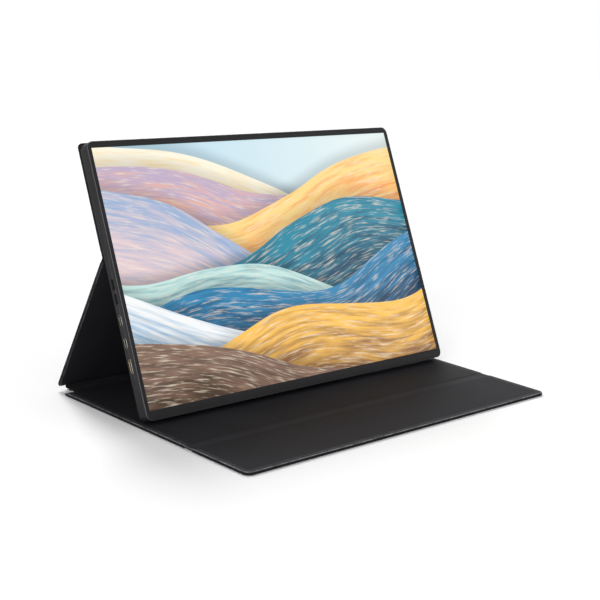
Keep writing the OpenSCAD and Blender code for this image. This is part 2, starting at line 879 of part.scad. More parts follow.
module leg_skin() {
    color([0.14, 0.14, 0.15]) at_leg() {
        panel_skin(back_w, leg_len, fold_half, fold_half,
            leg_corner_r, fold_corner_r);
        fold_tongue(spine_w, fold_half, -1, foot_start);
        fold_tongue(back_w, leg_len - fold_half, 1, mid_start);
    }
}

module leg_board() {
    color([0.55, 0.48, 0.38]) at_leg()
        panel_board_sheet(back_w, leg_len, fold_half, fold_half,
            leg_corner_r, fold_corner_r);
}

module leg_lining() {
    color([0.2, 0.2, 0.21]) at_leg()
        panel_lining(back_w, leg_len, fold_half, fold_half,
            leg_corner_r, fold_corner_r);
}

module foot_fold() {
    color([0.1, 0.1, 0.11]) at_floor(foot_y) fold_bead(spine_w, -1);
}

module spine_skin() {
    color([0.14, 0.14, 0.15]) at_floor(spine_y)
        panel_skin(spine_w, spine_d, fold_half, fold_half, spine_r, spine_r);
}

module spine_board() {
    color([0.55, 0.48, 0.38]) at_floor(spine_y)
        panel_board_sheet(spine_w, spine_d, fold_half, fold_half, spine_r, spine_r);
}

module spine_lining() {
    color([0.2, 0.2, 0.21]) at_floor(spine_y)
        panel_lining(spine_w, spine_d, fold_half, fold_half, spine_r, spine_r);
}

module spine_fold() {
    color([0.1, 0.1, 0.11]) at_floor(spine_y)
        translate([-spine_w / 2, -fold_half, fold_z - fold_t / 2])
            cube([spine_w, 2 * fold_half, fold_t]);
}

module base_skin() {
    color([0.14, 0.14, 0.15]) at_floor(crease_y)
        panel_skin(base_w, main_d, fold_half, fold_half,
            fold_corner_r, fold_corner_r);
}

module base_board() {
    color([0.55, 0.48, 0.38]) at_floor(crease_y)
        panel_board_sheet(base_w, main_d, fold_half, fold_half,
            fold_corner_r, fold_corner_r);
}

module base_lining() {
    color([0.2, 0.2, 0.21]) at_floor(crease_y)
        panel_lining(base_w, main_d, fold_half, fold_half,
            fold_corner_r, fold_corner_r);
}

module front_fold() {
    color([0.1, 0.1, 0.11]) at_floor(crease_y)
        fold_bead(base_w, 1);
}

module flap_skin() {
    color([0.14, 0.14, 0.15]) at_floor(front_y) {
        panel_skin(base_w, flap_d, 0, fold_half, flap_corner_r, fold_corner_r);
        fold_tongue(base_w, flap_d - fold_half, 1, flap_start);
    }
}

module flap_board() {
    color([0.55, 0.48, 0.38]) at_floor(front_y)
        panel_board_sheet(base_w, flap_d, 0, fold_half,
            flap_corner_r, fold_corner_r);
}

module flap_lining() {
    color([0.2, 0.2, 0.21]) at_floor(front_y)
        panel_lining(base_w, flap_d, 0, fold_half,
            flap_corner_r, fold_corner_r);
}

// ---- the assembly ----

front_bezel();
bezel_tape();
lcd_cell();
diffuser_films();
light_guide();
reflector_sheet();
led_strip();
leds();
panel_tray();
panel_board();
driver_films();
panel_cable();
rear_housing();
main_board();
board_screws();
scaler_chip();
board_coils();
shield_can();
cable_connectors();
usb_c_shell(usb_upper_z);  // usb_c_shell_upper
usb_c_shell(usb_lower_z);  // usb_c_shell_lower
usb_c_tongue(usb_upper_z);  // usb_c_tongue_upper
usb_c_tongue(usb_lower_z);  // usb_c_tongue_lower
mini_hdmi_shell();
mini_hdmi_tongue();
power_button();
power_switch();
menu_rocker();
menu_switches();
speaker(-1);  // speaker_left
speaker(1);  // speaker_right
speaker_leads();
housing_magnets();
back_panel_skin();
back_panel_board();
back_panel_lining();
back_panel_magnets();
mid_fold();
leg_skin();
leg_board();
leg_lining();
foot_fold();
spine_skin();
spine_board();
spine_lining();
spine_fold();
base_skin();
base_board();
base_lining();
front_fold();
flap_skin();
flap_board();
flap_lining();
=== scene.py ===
# %% [markdown]
# # A portable monitor standing in its folding cover
# The construction is finished before this lesson starts: every board, panel and
# socket is already a solid at its real size. What is left is what the eye judges,
# so each cell below takes one piece or one finish of the real product and makes it
# in Blender, in metres, in the same frame as the solids.

# %% Load the solids that everything is fitted to
import json
import math

import bmesh
import bpy
from mathutils import Matrix, Vector, noise


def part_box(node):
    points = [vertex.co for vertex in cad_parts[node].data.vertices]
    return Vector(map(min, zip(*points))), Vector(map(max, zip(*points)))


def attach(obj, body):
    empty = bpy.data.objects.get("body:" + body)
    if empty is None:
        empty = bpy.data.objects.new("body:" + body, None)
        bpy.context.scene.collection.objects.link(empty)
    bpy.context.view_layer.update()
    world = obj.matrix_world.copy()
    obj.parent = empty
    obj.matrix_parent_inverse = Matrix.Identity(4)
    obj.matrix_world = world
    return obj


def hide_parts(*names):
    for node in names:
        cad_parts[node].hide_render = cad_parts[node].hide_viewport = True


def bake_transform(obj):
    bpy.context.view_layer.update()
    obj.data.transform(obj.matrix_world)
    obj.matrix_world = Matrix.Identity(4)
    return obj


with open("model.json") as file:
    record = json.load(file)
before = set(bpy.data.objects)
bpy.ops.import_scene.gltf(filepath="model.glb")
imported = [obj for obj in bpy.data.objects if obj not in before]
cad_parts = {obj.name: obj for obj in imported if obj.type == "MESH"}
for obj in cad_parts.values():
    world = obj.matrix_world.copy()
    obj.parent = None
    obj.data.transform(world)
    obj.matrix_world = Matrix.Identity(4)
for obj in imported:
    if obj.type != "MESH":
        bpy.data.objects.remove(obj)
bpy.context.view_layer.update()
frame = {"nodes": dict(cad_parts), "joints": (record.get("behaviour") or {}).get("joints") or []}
MM = 0.001
SEED = 7

# %% [markdown]
# ## The camera
# The product is seen from its front left, a little above the table, through a long
# lens that keeps the edges of the cover nearly parallel. A small shift of the lens
# frames it, as the rising front of a view camera does, and nothing is blurred.

# %% Place the camera
CAMERA_PLACE = (-0.8082, -0.8112, 0.3518)
CAMERA_TURN = (78.6624, -3.1639, -43.3763)
CAMERA_LENS = 82.11
CAMERA_SHIFT = (0.0108, -0.0766)

lens = bpy.data.cameras.new("product_lens")
lens.sensor_width = 36
lens.lens = CAMERA_LENS
lens.shift_x, lens.shift_y = CAMERA_SHIFT
camera = bpy.data.objects.new("product_camera", lens)
camera.location = CAMERA_PLACE
camera.rotation_euler = [math.radians(turn) for turn in CAMERA_TURN]
bpy.context.scene.collection.objects.link(camera)
bpy.context.scene.camera = camera
print("camera", tuple(round(value, 3) for value in camera.location))

# %% [markdown]
# ## Helpers for materials
# A finish is easiest to match when its colour is written as it looks, so colours are
# sRGB hex codes that one function turns to the linear values that Blender wants.
# A second function adds a node and fills in its inputs, which keeps a node tree
# readable as a list of steps.

# %% Colours and nodes
def linear(code):
    """The linear colour of an sRGB hex code."""
    parts = [int(code[i : i + 2], 16) / 255 for i in (1, 3, 5)]
    return [c / 12.92 if c <= 0.04045 else ((c + 0.055) / 1.055) ** 2.4 for c in parts] + [1.0]


def add(tree, kind, inputs=None, **settings):
    """Adds a node. In inputs, a socket or a node's first output is linked, the rest is set."""
    node = tree.nodes.new(kind if "Node" in kind else "ShaderNode" + kind)
    for name, value in settings.items():
        setattr(node, name, value)
    for socket, value in (inputs or {}).items():
        if isinstance(value, bpy.types.Node):
            value = value.outputs[0]
        if isinstance(value, bpy.types.NodeSocket):
            tree.links.new(value, node.inputs[socket])
        else:
            node.inputs[socket].default_value = value
    return node


def new_material(name):
    """The empty node tree of a new material and the Object coordinates that patterns read."""
    material = bpy.data.materials.new(name)
    material.use_nodes = True
    material.node_tree.nodes.clear()
    return material.node_tree, add(material.node_tree, "TexCoord").outputs["Object"]


def two_tones(tree, share, first, second):
    """A colour between two, by a share from 0 to 1. Each is a hex code, a socket or a node."""
    first, second = [linear(tone) if isinstance(tone, str) else tone for tone in (first, second)]
    return add(tree, "Mix", {"Factor": share, 6: first, 7: second}, data_type="RGBA").outputs[2]


def fractal(tree, place, size, detail=3, stretch=(1, 1, 1)):
    """Noise whose lumps are about one size across, and less along an axis with more stretch."""
    scaled = add(tree, "Mapping", {"Vector": place, "Scale": [s / size for s in stretch]})
    return add(tree, "TexNoise", {"Vector": scaled, "Scale": 1, "Detail": detail})


def uneven(tree, pattern, roughness, spread, low=0.3, high=0.7):
    """A roughness that goes up and down by a spread as the pattern goes from low to high."""
    return add(tree, "MapRange", {"Value": pattern, "From Min": low, "From Max": high,
                                  "To Min": roughness - spread, "To Max": roughness + spread})


def surface(name, tree, inputs, height=None, strength=0.0, depth=0.0):
    """Ends a tree in the main shader, with a bump of some depth, and returns the material."""
    if height:
        bump = add(tree, "Bump", {"Height": height, "Strength": strength, "Distance": depth})
        inputs = {**inputs, "Normal": bump}
    add(tree, "OutputMaterial", {"Surface": add(tree, "BsdfPrincipled", inputs)})
    return bpy.data.materials[name]


print("black leather as linear colour:", [round(c, 4) for c in linear("#1e1e20")])

# %% [markdown]
# ## Artificial leather
# The cover is polyurethane leather on thin boards. It is cast on embossed paper, which
# leaves small flat pebbles with narrow valleys. A cell pattern gives the pebbles,
# smaller noise roughens their tops, and slow noise keeps a large black face from
# looking like a painted card. Real pebbles are about 0.5 mm across; here they are a
# little coarser, so that a close view shows them. Along a folded edge a paler colour
# paints the highlight that the rolled edge catches, the border next to the edge is
# painted a little lighter for the sheen it catches, and the side below the edge is
# inked dull black, so each of these gets a finish of its own.

# %% Leather and lining
def leather(name, dark, light, pebble=0.7 * MM, depth=0.03 * MM, roughness=0.6, specular=0.06,
            cloud=45 * MM):
    """Artificial leather. Its pebbles, their depth and its slow changes are in metres."""
    tree, place = new_material(name)
    cells = add(tree, "TexVoronoi", {"Vector": place, "Scale": 1 / pebble, "Smoothness": 0.35},
                feature="SMOOTH_F1")
    grain = fractal(tree, place, pebble / 3, 2)
    pores = add(tree, "Math", {0: cells.outputs["Distance"], 1: -1.0, 2: grain},
                operation="MULTIPLY_ADD")
    cloudy = fractal(tree, place, cloud, 2)
    worn = add(tree, "MapRange", {"Value": cloudy, "From Min": 0.35, "From Max": 0.65})
    return surface(name, tree, {
        "Base Color": two_tones(tree, worn, dark, light),
        "Roughness": uneven(tree, cloudy, roughness, 0.04),
        "Specular IOR Level": specular, "IOR": 1.5}, pores, 0.5, depth)


cover_leather = leather("black_polyurethane_leather", "#242426", "#28282b", 0.9 * MM, 0.05 * MM)
cover_lining = leather("smooth_polyurethane_lining", "#212124", "#27272a", 0.6 * MM, specular=0.05)
fold_leather = leather("creased_polyurethane_leather", "#262629", "#2d2d30", depth=0.05 * MM)
# a painted sheen: the lighter colour stands for the light that the sloping border next to an edge
# catches
sheen_border_leather = leather("polyurethane_border_painted_sheen", "#2b2b2e", "#3e3e42", 0.6 * MM,
                          specular=0.07, cloud=4 * MM)
# a painted highlight: the paler colour stands for the light that a rolled edge catches
edge_highlight_leather = leather("polyurethane_edge_painted_highlight", "#47464a", "#88878b", roughness=0.5,
                         specular=0.2, cloud=5 * MM)
inked_leather = leather("inked_polyurethane_edge", "#212123", "#272729", roughness=0.9, specular=0.02)
print("leathers:", cover_leather.name, cover_lining.name, fold_leather.name)

# %% [markdown]
# ## Moulded plastic
# The bezel, the housing and the buttons are injection-moulded. Their mould is
# spark-eroded, which prints a fine sand-like texture on the part and takes away the
# gloss. Two sizes of noise make that texture, and the roughness follows it, so that
# the surface glints a little where it is struck at a low angle.

# %% Plastics
def moulded(name, dark, light, roughness, grit=0.25 * MM, depth=0.012 * MM, specular=0.5):
    """Spark-eroded plastic; grit is the size of its texture in metres."""
    tree, place = new_material(name)
    sand = fractal(tree, place, grit, 3)
    flow = fractal(tree, place, 30 * MM, 2)
    tone = add(tree, "Math", {0: sand, 1: 0.4, 2: flow}, operation="MULTIPLY_ADD")
    share = add(tree, "MapRange", {"Value": tone, "From Min": 0.45, "From Max": 0.95})
    return surface(name, tree, {
        "Base Color": two_tones(tree, share, dark, light),
        "Roughness": uneven(tree, sand, roughness, 0.05),
        "Specular IOR Level": specular, "IOR": 1.5}, sand, 0.6, depth)


bezel_plastic = moulded("matt_black_abs", "#1b1b1d", "#222224", 0.54, specular=0.19)
housing_plastic = moulded("matt_graphite_abs", "#1a1a1c", "#212123", 0.48, specular=0.17)
# glossy finish for the round of the bezel rim, lighter than the bezel as a painted highlight
chamfer_highlight_plastic = moulded("glossy_abs_painted_highlight", "#303033", "#39393c", 0.35, specular=0.5)
# darker than the housing: a painted shade that stands in for the dark gaps round the keys
button_plastic = moulded("satin_abs_painted_gap_shade", "#0e0e0f", "#151516", 0.5, specular=0.05)
black_plastic = moulded("glass_filled_nylon", "#121213", "#19191a", 0.45)
connector_plastic = moulded("natural_nylon", "#e4dcc6", "#eee8d6", 0.45)
foam_tape = moulded("closed_cell_foam", "#0c0c0d", "#131314", 0.85, 0.4 * MM, 0.1 * MM)
lead_insulation = moulded("red_pvc_insulation", "#8c1418", "#a01a1e", 0.4)
cover_board = moulded("grey_bookbinding_board", "#7d766a", "#8d8678", 0.9, 1.2 * MM, 0.05 * MM)
print("plastics:", bezel_plastic.name, housing_plastic.name, button_plastic.name)

# %% [markdown]
# ## Metals
# The socket shells, the screws, the panel's tray and the magnets are metal: stamped
# stainless steel, a pale gold flash on steel, rolled aluminium and nickel plating. A
# stamped or rolled sheet keeps fine lines along the way it was drawn, so the noise
# is stretched along one axis, and it drives the roughness more than the colour.

# %% Metals
def metal(name, dark, light, roughness, line=0.15 * MM, run=(0.06, 1, 1)):
    """Bare or plated metal with fine lines that run along the axis of smallest stretch."""
    tree, place = new_material(name)
    lines = fractal(tree, place, line, 3, run)
    return surface(name, tree, {
        "Base Color": two_tones(tree, lines, dark, light), "Metallic": 1.0,
        "Roughness": uneven(tree, lines, roughness, 0.08)}, lines, 0.3, 0.005 * MM)


socket_steel = metal("stamped_stainless_steel", "#7f7d7a", "#9b9996", 0.3)
socket_gold = metal("pale_gold_flashed_steel", "#a39480", "#c4b59d", 0.3)
contact_gold = metal("gold_plated_contact", "#d6a551", "#ecc274", 0.22)
screw_steel = metal("zinc_plated_steel", "#a9abad", "#c6c8ca", 0.32)
panel_metal = metal("rolled_aluminium", "#b6b9bc", "#c9ccce", 0.42, 0.3 * MM)
magnet_nickel = metal("nickel_plated_neodymium", "#a7a49c", "#c2bfb7", 0.25, 0.5 * MM, (1, 1, 1))
print("metals:", socket_steel.name, socket_gold.name, panel_metal.name)

# %% [markdown]
# ## Sheets inside the display and the circuit boards
# Behind the glass lie clear acrylic, white films and a row of diodes, and behind
# them the boards. They show only when the product is taken apart, but each still
# gets its own finish: a board is green solder resist over copper tracks that run in
# straight lines, and the films are milky, with a faint unevenness.

# %% Films, glass and boards
def film(name, dark, light, roughness, clear=0.0):
    """A plastic sheet or moulding; clear is the share of light that it lets through."""
    tree, place = new_material(name)
    haze = fractal(tree, place, 12 * MM, 3)
    return surface(name, tree, {
        "Base Color": two_tones(tree, haze, dark, light), "Transmission Weight": clear,
        "Roughness": uneven(tree, haze, roughness, 0.05, 0, 1), "IOR": 1.49})


def circuit_board(name, resist, copper):
    """Solder resist over copper tracks that run along and across the board."""
    tree, place = new_material(name)
    tracks = add(tree, "TexBrick", {
        "Vector": place, "Scale": 1 / (9 * MM), "Color1": linear(resist), "Color2": linear(resist),
        "Mortar": linear(copper), "Mortar Size": 0.035, "Mortar Smooth": 0.2}, offset=0.4)
    return surface(name, tree, {"Base Color": tracks.outputs["Color"], "Roughness": 0.35},
                   tracks.outputs["Fac"], 0.4, 0.03 * MM)


clear_acrylic = film("clear_acrylic_sheet", "#e4eef2", "#f4fafc", 0.1, 0.8)
white_film = film("white_diffuser_film", "#e6e6e8", "#f4f4f5", 0.6)
diode_lens = film("yellow_phosphor_lens", "#e0c45c", "#f0da7e", 0.3)
flex_film = film("amber_polyimide_film", "#9a5d1c", "#b4732a", 0.3)
display_glass = film("dark_display_glass", "#040405", "#070708", 0.08)
board_green = circuit_board("green_circuit_board", "#0e4a2c", "#1c6b40")
print("sheets and boards:", clear_acrylic.name, white_film.name, board_green.name)

# %% [markdown]
# ## The picture on the screen
# The display is on, so its picture is light, not paint: it goes into the emission
# of an otherwise black sheet with an anti-glare finish. The picture is a made-up
# wallpaper of broad ribbons. Each is everything below one slow wave, with a gradient,
# fine silk lines that follow its edge and a few bright strands, and it shades the
# ribbon behind it. A table gives their waves and colours, and a loop lays them one
# over the other, from back to front. Lengths are in picture heights.

# %% The ribbons and their colours
PICTURE_RATIO = 1.6
# height at the left edge, slope, swing, waves per picture height, start of the wave,
# depth of the gradient, colour at the edge, colour below it
RIBBONS = [
    (1.02, -0.30, 0.060, 0.55, 0.0, 0.34, "#fff8e2", "#ffd98a"),
    (0.86, -0.05, 0.085, 0.60, 1.1, 0.30, "#c0aec8", "#f0b59c"),
    (0.70, 0.10, 0.090, 0.50, 2.6, 0.34, "#ffdc8c", "#f59a4e"),
    (0.80, -0.36, 0.080, 0.65, 0.7, 0.30, "#9db4d6", "#e4cdd2"),
    (0.50, 0.10, 0.075, 0.55, 3.6, 0.32, "#2a8ba4", "#0e4a66"),
    (0.56, -0.22, 0.085, 0.60, 5.0, 0.26, "#c4e6e2", "#2f8196"),
    (0.30, 0.12, 0.070, 0.65, 0.4, 0.26, "#2f86b4", "#124266"),
    (0.40, -0.24, 0.060, 0.60, 2.4, 0.22, "#f6fafd", "#8fb6d4"),
    (0.12, 0.13, 0.055, 0.70, 4.4, 0.30, "#ffc65a", "#96683f"),
    (0.20, -0.15, 0.045, 0.65, 0.9, 0.26, "#8a6d5c", "#4e3d31"),
]
SKY_LEFT, SKY_RIGHT = "#b4dcf0", "#eaf4f2"
STRAND = "#fdeed8"
SILK_LINES = (5, 55, 1)
STRAND_LINES = (13, 150, 1)
STRAND_SHARE = 0.55
SHADE_REACH = 0.07
SHADE = 0.72
EDGE_BLUR = 0.0012
DRIFT = 0.16
DRIFT_RATE = 1.7
print("ribbons:", len(RIBBONS), "shape of the picture:", PICTURE_RATIO)


# %% Lay them over one another
def ribbon(tree, across, up, behind, spec):
    """Lays one ribbon over the picture so far and returns the new colour."""
    height, slope, swing, rate, start, deep, edge_colour, deep_colour = spec
    turn = add(tree, "Math", {0: across, 1: 2 * math.pi * rate, 2: start}, operation="MULTIPLY_ADD")
    wave = add(tree, "Math", {0: turn}, operation="SINE")
    line = add(tree, "Math", {0: across, 1: slope, 2: height}, operation="MULTIPLY_ADD")
    edge = add(tree, "Math", {0: wave, 1: swing, 2: line}, operation="MULTIPLY_ADD")
    below = add(tree, "Math", {0: edge, 1: up}, operation="SUBTRACT")
    thread = add(tree, "CombineXYZ", {0: across, 1: below, 2: start})
    silk = fractal(tree, thread, 1, 6, SILK_LINES)
    lift = add(tree, "MapRange", {"Value": silk, "From Min": 0.35, "From Max": 0.65,
                                  "To Min": -0.4, "To Max": 0.4})
    fade = add(tree, "MapRange", {"Value": below, "From Max": deep})
    share = add(tree, "Math", {0: fade, 1: lift}, operation="ADD", use_clamp=True)
    colour = two_tones(tree, share, edge_colour, deep_colour)
    strands = fractal(tree, thread, 1, 5, STRAND_LINES)
    bright = add(tree, "MapRange", {"Value": strands, "From Min": 0.52, "From Max": 0.7,
                                    "To Max": STRAND_SHARE})
    colour = two_tones(tree, bright, colour, STRAND)
    shade = add(tree, "MapRange", {"Value": below, "From Min": -SHADE_REACH, "From Max": 0,
                                   "To Min": 1.0, "To Max": SHADE}, interpolation_type="SMOOTHSTEP")
    shaded = add(tree, "VectorMath", {0: behind, 3: shade}, operation="SCALE")
    over = add(tree, "MapRange", {"Value": below, "From Min": -EDGE_BLUR, "From Max": EDGE_BLUR})
    return two_tones(tree, over, shaded, colour)


def lit_screen(name):
    """An anti-glare sheet that shows the wallpaper, read from the piece's own UV map."""
    tree = new_material(name)[0]
    uv = add(tree, "UVMap", uv_map="picture")
    spot = add(tree, "SeparateXYZ", {0: uv})
    across = add(tree, "Math", {0: spot.outputs[0], 1: PICTURE_RATIO}, operation="MULTIPLY")
    drift = add(tree, "TexNoise", {"Vector": uv, "Scale": DRIFT_RATE, "Detail": 1})
    high = add(tree, "Math", {0: drift, 1: DRIFT, 2: spot.outputs[1]}, operation="MULTIPLY_ADD")
    up = add(tree, "Math", {0: high, 1: DRIFT / 2}, operation="SUBTRACT")
    picture = two_tones(tree, spot.outputs[0], SKY_LEFT, SKY_RIGHT)
    for spec in RIBBONS:
        picture = ribbon(tree, across, up, picture, spec)
    return surface(name, tree, {
        "Base Color": linear("#060607"), "Roughness": 0.35, "Specular IOR Level": 0.3,
        "Emission Color": picture, "Emission Strength": 1.0})


screen_picture = lit_screen("lit_antiglare_screen")
print("nodes in", screen_picture.name, len(screen_picture.node_tree.nodes))

# %% [markdown]
# ## Where the pieces lie
# The screen leans back, and each cover panel lies in its own plane between two fold
# lines. Those lines and the lean are read from the joints of the construction, so the
# pieces below follow it if it changes.

# %% Measure the construction
joints = {joint["name"]: joint for joint in frame["joints"]}
foot = Vector(joints["leg_fold"]["pos_m"])
middle = Vector(joints["back_fold"]["pos_m"])
crease = Vector(joints["flap_fold"]["pos_m"])
up_screen = Vector(joints["monitor_lift"]["axis"]).normalized()
behind_screen = Vector((0, up_screen.z, -up_screen.y))
FLOOR_WAY = Vector((0, 1, 0))
leg_way = (middle - foot).normalized()

base_low, base_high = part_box("base_skin")
spine_low, spine_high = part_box("spine_skin")
flap_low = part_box("flap_skin")[0]
leg_low, leg_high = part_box("leg_skin")
back_low, back_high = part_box("back_panel_skin")
cover_t = base_high.z - base_low.z
fold_half = base_low.y - crease.y
rear_fold = Vector((0, (base_high.y + spine_low.y) / 2, foot.z))
print("cover thickness %.1f mm, fold half %.1f mm" % (cover_t / MM, fold_half / MM))
print("leg %.1f mm long" % ((middle - foot).length / MM))

# %% [markdown]
# ## Turning lists of points into meshes
# Most pieces here are lofts: a row of closed outlines with the same number of
# points, joined by quads. One helper makes the object, marks only its sharp edges as
# sharp and hands it over with its material.

# %% Mesh helpers
def make_object(name, points, faces, material, sharp_deg=35):
    """An object from points and faces, smooth except at edges sharper than sharp_deg."""
    mesh = bpy.data.meshes.new(name)
    mesh.from_pydata(points, [], faces)
    mesh.validate()
    return finish_object(name, mesh, material, sharp_deg)


def finish_object(name, mesh, material, sharp_deg=35):
    """Puts a mesh in the scene with one material, smooth but for its sharp edges."""
    for face in mesh.polygons:
        face.use_smooth = True
    mesh.set_sharp_from_angle(angle=math.radians(sharp_deg))
    mesh.materials.clear()
    mesh.materials.append(material)
    piece = bpy.data.objects.new(name, mesh)
    bpy.context.scene.collection.objects.link(piece)
    return piece


def hand_over(piece, body, slot, *replaced):
    """Rides the piece on its body and hides the nodes that it stands for. The slot is not used."""
    if body:
        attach(piece, body)
    if replaced:
        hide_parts(*replaced)
    print(piece.name, len(piece.data.polygons), "faces")
    return piece


def smooth_step(value):
    value = min(max(value, 0), 1)
    return value * value * (3 - 2 * value)

# %% [markdown]
# ## A cover panel
# A panel is a thin board between an outer leather skin, turned over its edge as a
# narrow hem, and a lining that ends just inside that hem. The board stops short of
# each fold, so the leather sinks there from the panel's thickness to its own. Columns
# and rows of points carry the faces. The columns crowd together at the rounded corners
# and end on the outline, so that the same points also make the rolled edge, which is
# a list of steps with a distance in from the outline and a height.

# %% Points of a panel
HEM = 1.7 * MM
LINING_T = 0.5 * MM
SINK = 3.0 * MM
CREASE_DIP = 0.4 * MM
FOLD_DIP = 0.7 * MM
UNDER_DIP = 0.75 * MM
ROLL_TOP = 0.9 * MM
ROLL_UNDER = 1.3 * MM
GROOVE = 0.3 * MM
FOLD_SHARE = 0.4
CORNER_STEPS = 9
GRID_STEP = 7 * MM
END_ROWS = [row * MM for row in (0, 0.4, 0.9, 1.5, 2.2, 3.0, 4.5)]
SHORT_PANEL = 12 * MM
SHORT_ROWS = 14
LEAST_CORNER = 0.3 * MM
RIPPLE = 0.05 * MM
RIPPLE_ACROSS, RIPPLE_ALONG = 70 * MM, 50 * MM
# how far apart the two faces of a panel read the noise
RIPPLE_SLICE = 3.1


def panel_matrix(start, way):
    """From a panel's own x, y along it and z towards its lining, to the frame."""
    up = Vector((0, -way.z, way.y))
    return Matrix(((1, 0, 0, 0), (0, way.y, up.y, start.y), (0, way.z, up.z, start.z), (0, 0, 0, 1)))


def column_places(half, corner, count):
    """Distances along x from -half to half, crowded where the corners curve."""
    turns = [math.pi / 2 * k / CORNER_STEPS for k in range(CORNER_STEPS + 1)]
    left = [-half + corner * (1 - math.cos(turn)) for turn in turns]
    inner = [-half + corner + 2 * (half - corner) * k / count for k in range(1, count)]
    return left + inner + [-x for x in reversed(left)]


def row_shares(length):
    """Shares from 0 to 1 along the panel, close together near both ends."""
    if length < SHORT_PANEL:
        return [k / SHORT_ROWS for k in range(SHORT_ROWS + 1)]
    span = length - 2 * END_ROWS[-1]
    count = max(2, round(span / GRID_STEP))
    inner = [END_ROWS[-1] + span * k / count for k in range(1, count)]
    return [row / length for row in END_ROWS + inner + [length - row for row in reversed(END_ROWS)]]


print("rows along 100 mm:", len(row_shares(100 * MM)))


# %% One panel
class Panel:
    """One cover panel: its place, its outline and how its faces sink towards its folds."""

    def __init__(self, start, way, low, high, width, near_dip, far_dip, near_r, far_r):
        self.matrix = panel_matrix(start, way)
        self.low, self.high, self.width = low, high, width
        self.near_dip, self.far_dip = near_dip, far_dip
        self.near_r, self.far_r = near_r, far_r
        self.rows = row_shares(high - low)
        self.across = round(width / GRID_STEP)

    def half_thickness(self, along, face):
        """Height of the upper (1) or lower (-1) face from the middle of the board."""
        reach = min(SINK, (self.high - self.low) / 2)
        height = cover_t / 2
        for dip, gap in ((self.near_dip, along - self.low), (self.far_dip, self.high - along)):
            if dip is not None:
                height -= (dip if face > 0 else UNDER_DIP) * smooth_step(1 - gap / reach)
        return height

    def at_fold(self, row):
        """Whether a row of the grid lies where the panel meets a fold."""
        ends = {0: self.near_dip, len(self.rows) - 1: self.far_dip}
        return ends.get(row) is not None

    def grid(self, side, fold):
        """Columns of (x, y) points inside margins from the free sides and from the folds."""
        half = self.width / 2 - side
        low = self.low + (side if self.near_dip is None else fold)
        high = self.high - (side if self.far_dip is None else fold)
        near_r = max(self.near_r - side, LEAST_CORNER)
        far_r = max(self.far_r - side, LEAST_CORNER)
        columns = []
        for x in column_places(half, max(near_r, far_r), self.across):
            ends = []
            for r in (near_r, far_r):
                inside = max(0, abs(x) - (half - r))
                ends.append(r - math.sqrt(max(0, r * r - inside * inside)))
            first, last = low + ends[0], high - ends[1]
            columns.append([(x, first + (last - first) * share) for share in self.rows])
        return columns


# %% The sheet of leather or lining on it
def rim(columns):
    """The closed outline of a grid, anticlockwise."""
    last = len(columns[0]) - 1
    return ([(i, 0) for i in range(len(columns))]
            + [(len(columns) - 1, j) for j in range(1, last + 1)]
            + [(i, last) for i in range(len(columns) - 2, -1, -1)]
            + [(0, j) for j in range(last - 1, 0, -1)])


def panel_mesh(name, panel, steps, finishes):
    """A closed sheet: a cap below, the steps of its edge, and a cap above. A step is
    (margin at free sides, margin at folds, -1 or 1 for the lower or upper face, height
    above that face, which finish the band that ends there has on free sides)."""
    points, faces, rims, slots = [], [], [], []

    def put(x, y, face, lift):
        height = face * panel.half_thickness(y, face) + lift
        wave = noise.noise(Vector((x / RIPPLE_ACROSS, y / RIPPLE_ALONG, face * RIPPLE_SLICE + SEED)))
        points.append(panel.matrix @ Vector((x, y, height - face * RIPPLE * abs(wave))))
        return len(points) - 1

    for number, (side, fold, face, lift, finish) in enumerate(steps):
        columns = panel.grid(side, fold)
        outline = rim(columns)
        where = {(i, j): put(*columns[i][j], face, lift) for i, j in outline}
        rims.append([where[spot] for spot in outline])
        if number in (0, len(steps) - 1):
            for i, column in enumerate(columns):
                for j, (x, y) in enumerate(column):
                    if (i, j) not in where:
                        where[(i, j)] = put(x, y, face, lift)
            for i in range(len(columns) - 1):
                for j in range(len(columns[0]) - 1):
                    quad = [where[spot] for spot in ((i, j), (i + 1, j), (i + 1, j + 1), (i, j + 1))]
                    faces.append(quad if number else quad[::-1])
                    slots.append(0)
    for lower, upper, step in zip(rims, rims[1:], steps[1:]):
        for k in range(len(lower)):
            after = (k + 1) % len(lower)
            faces.append([lower[k], lower[after], upper[after], upper[k]])
            at_fold = all(panel.at_fold(outline[end][1]) for end in (k, after))
            slots.append(0 if at_fold else step[4])
    sheet = make_object(name, points, faces, finishes[0], sharp_deg=50)
    for finish in finishes[1:]:
        sheet.data.materials.append(finish)
    sheet.data.polygons.foreach_set("material_index", slots)
    return sheet


# %% The steps of its edge
def rolled(radius, face, finishes):
    """Steps round a quarter of a rolled edge, from its face to the side of the panel."""
    turns = [math.pi / 2 * k / (len(finishes) - 1) for k in range(len(finishes))]
    return [(radius * (1 - math.sin(t)), FOLD_SHARE * radius * (1 - math.sin(t)), face,
             -face * radius * (1 - math.cos(t)), finish) for t, finish in zip(turns, finishes)]


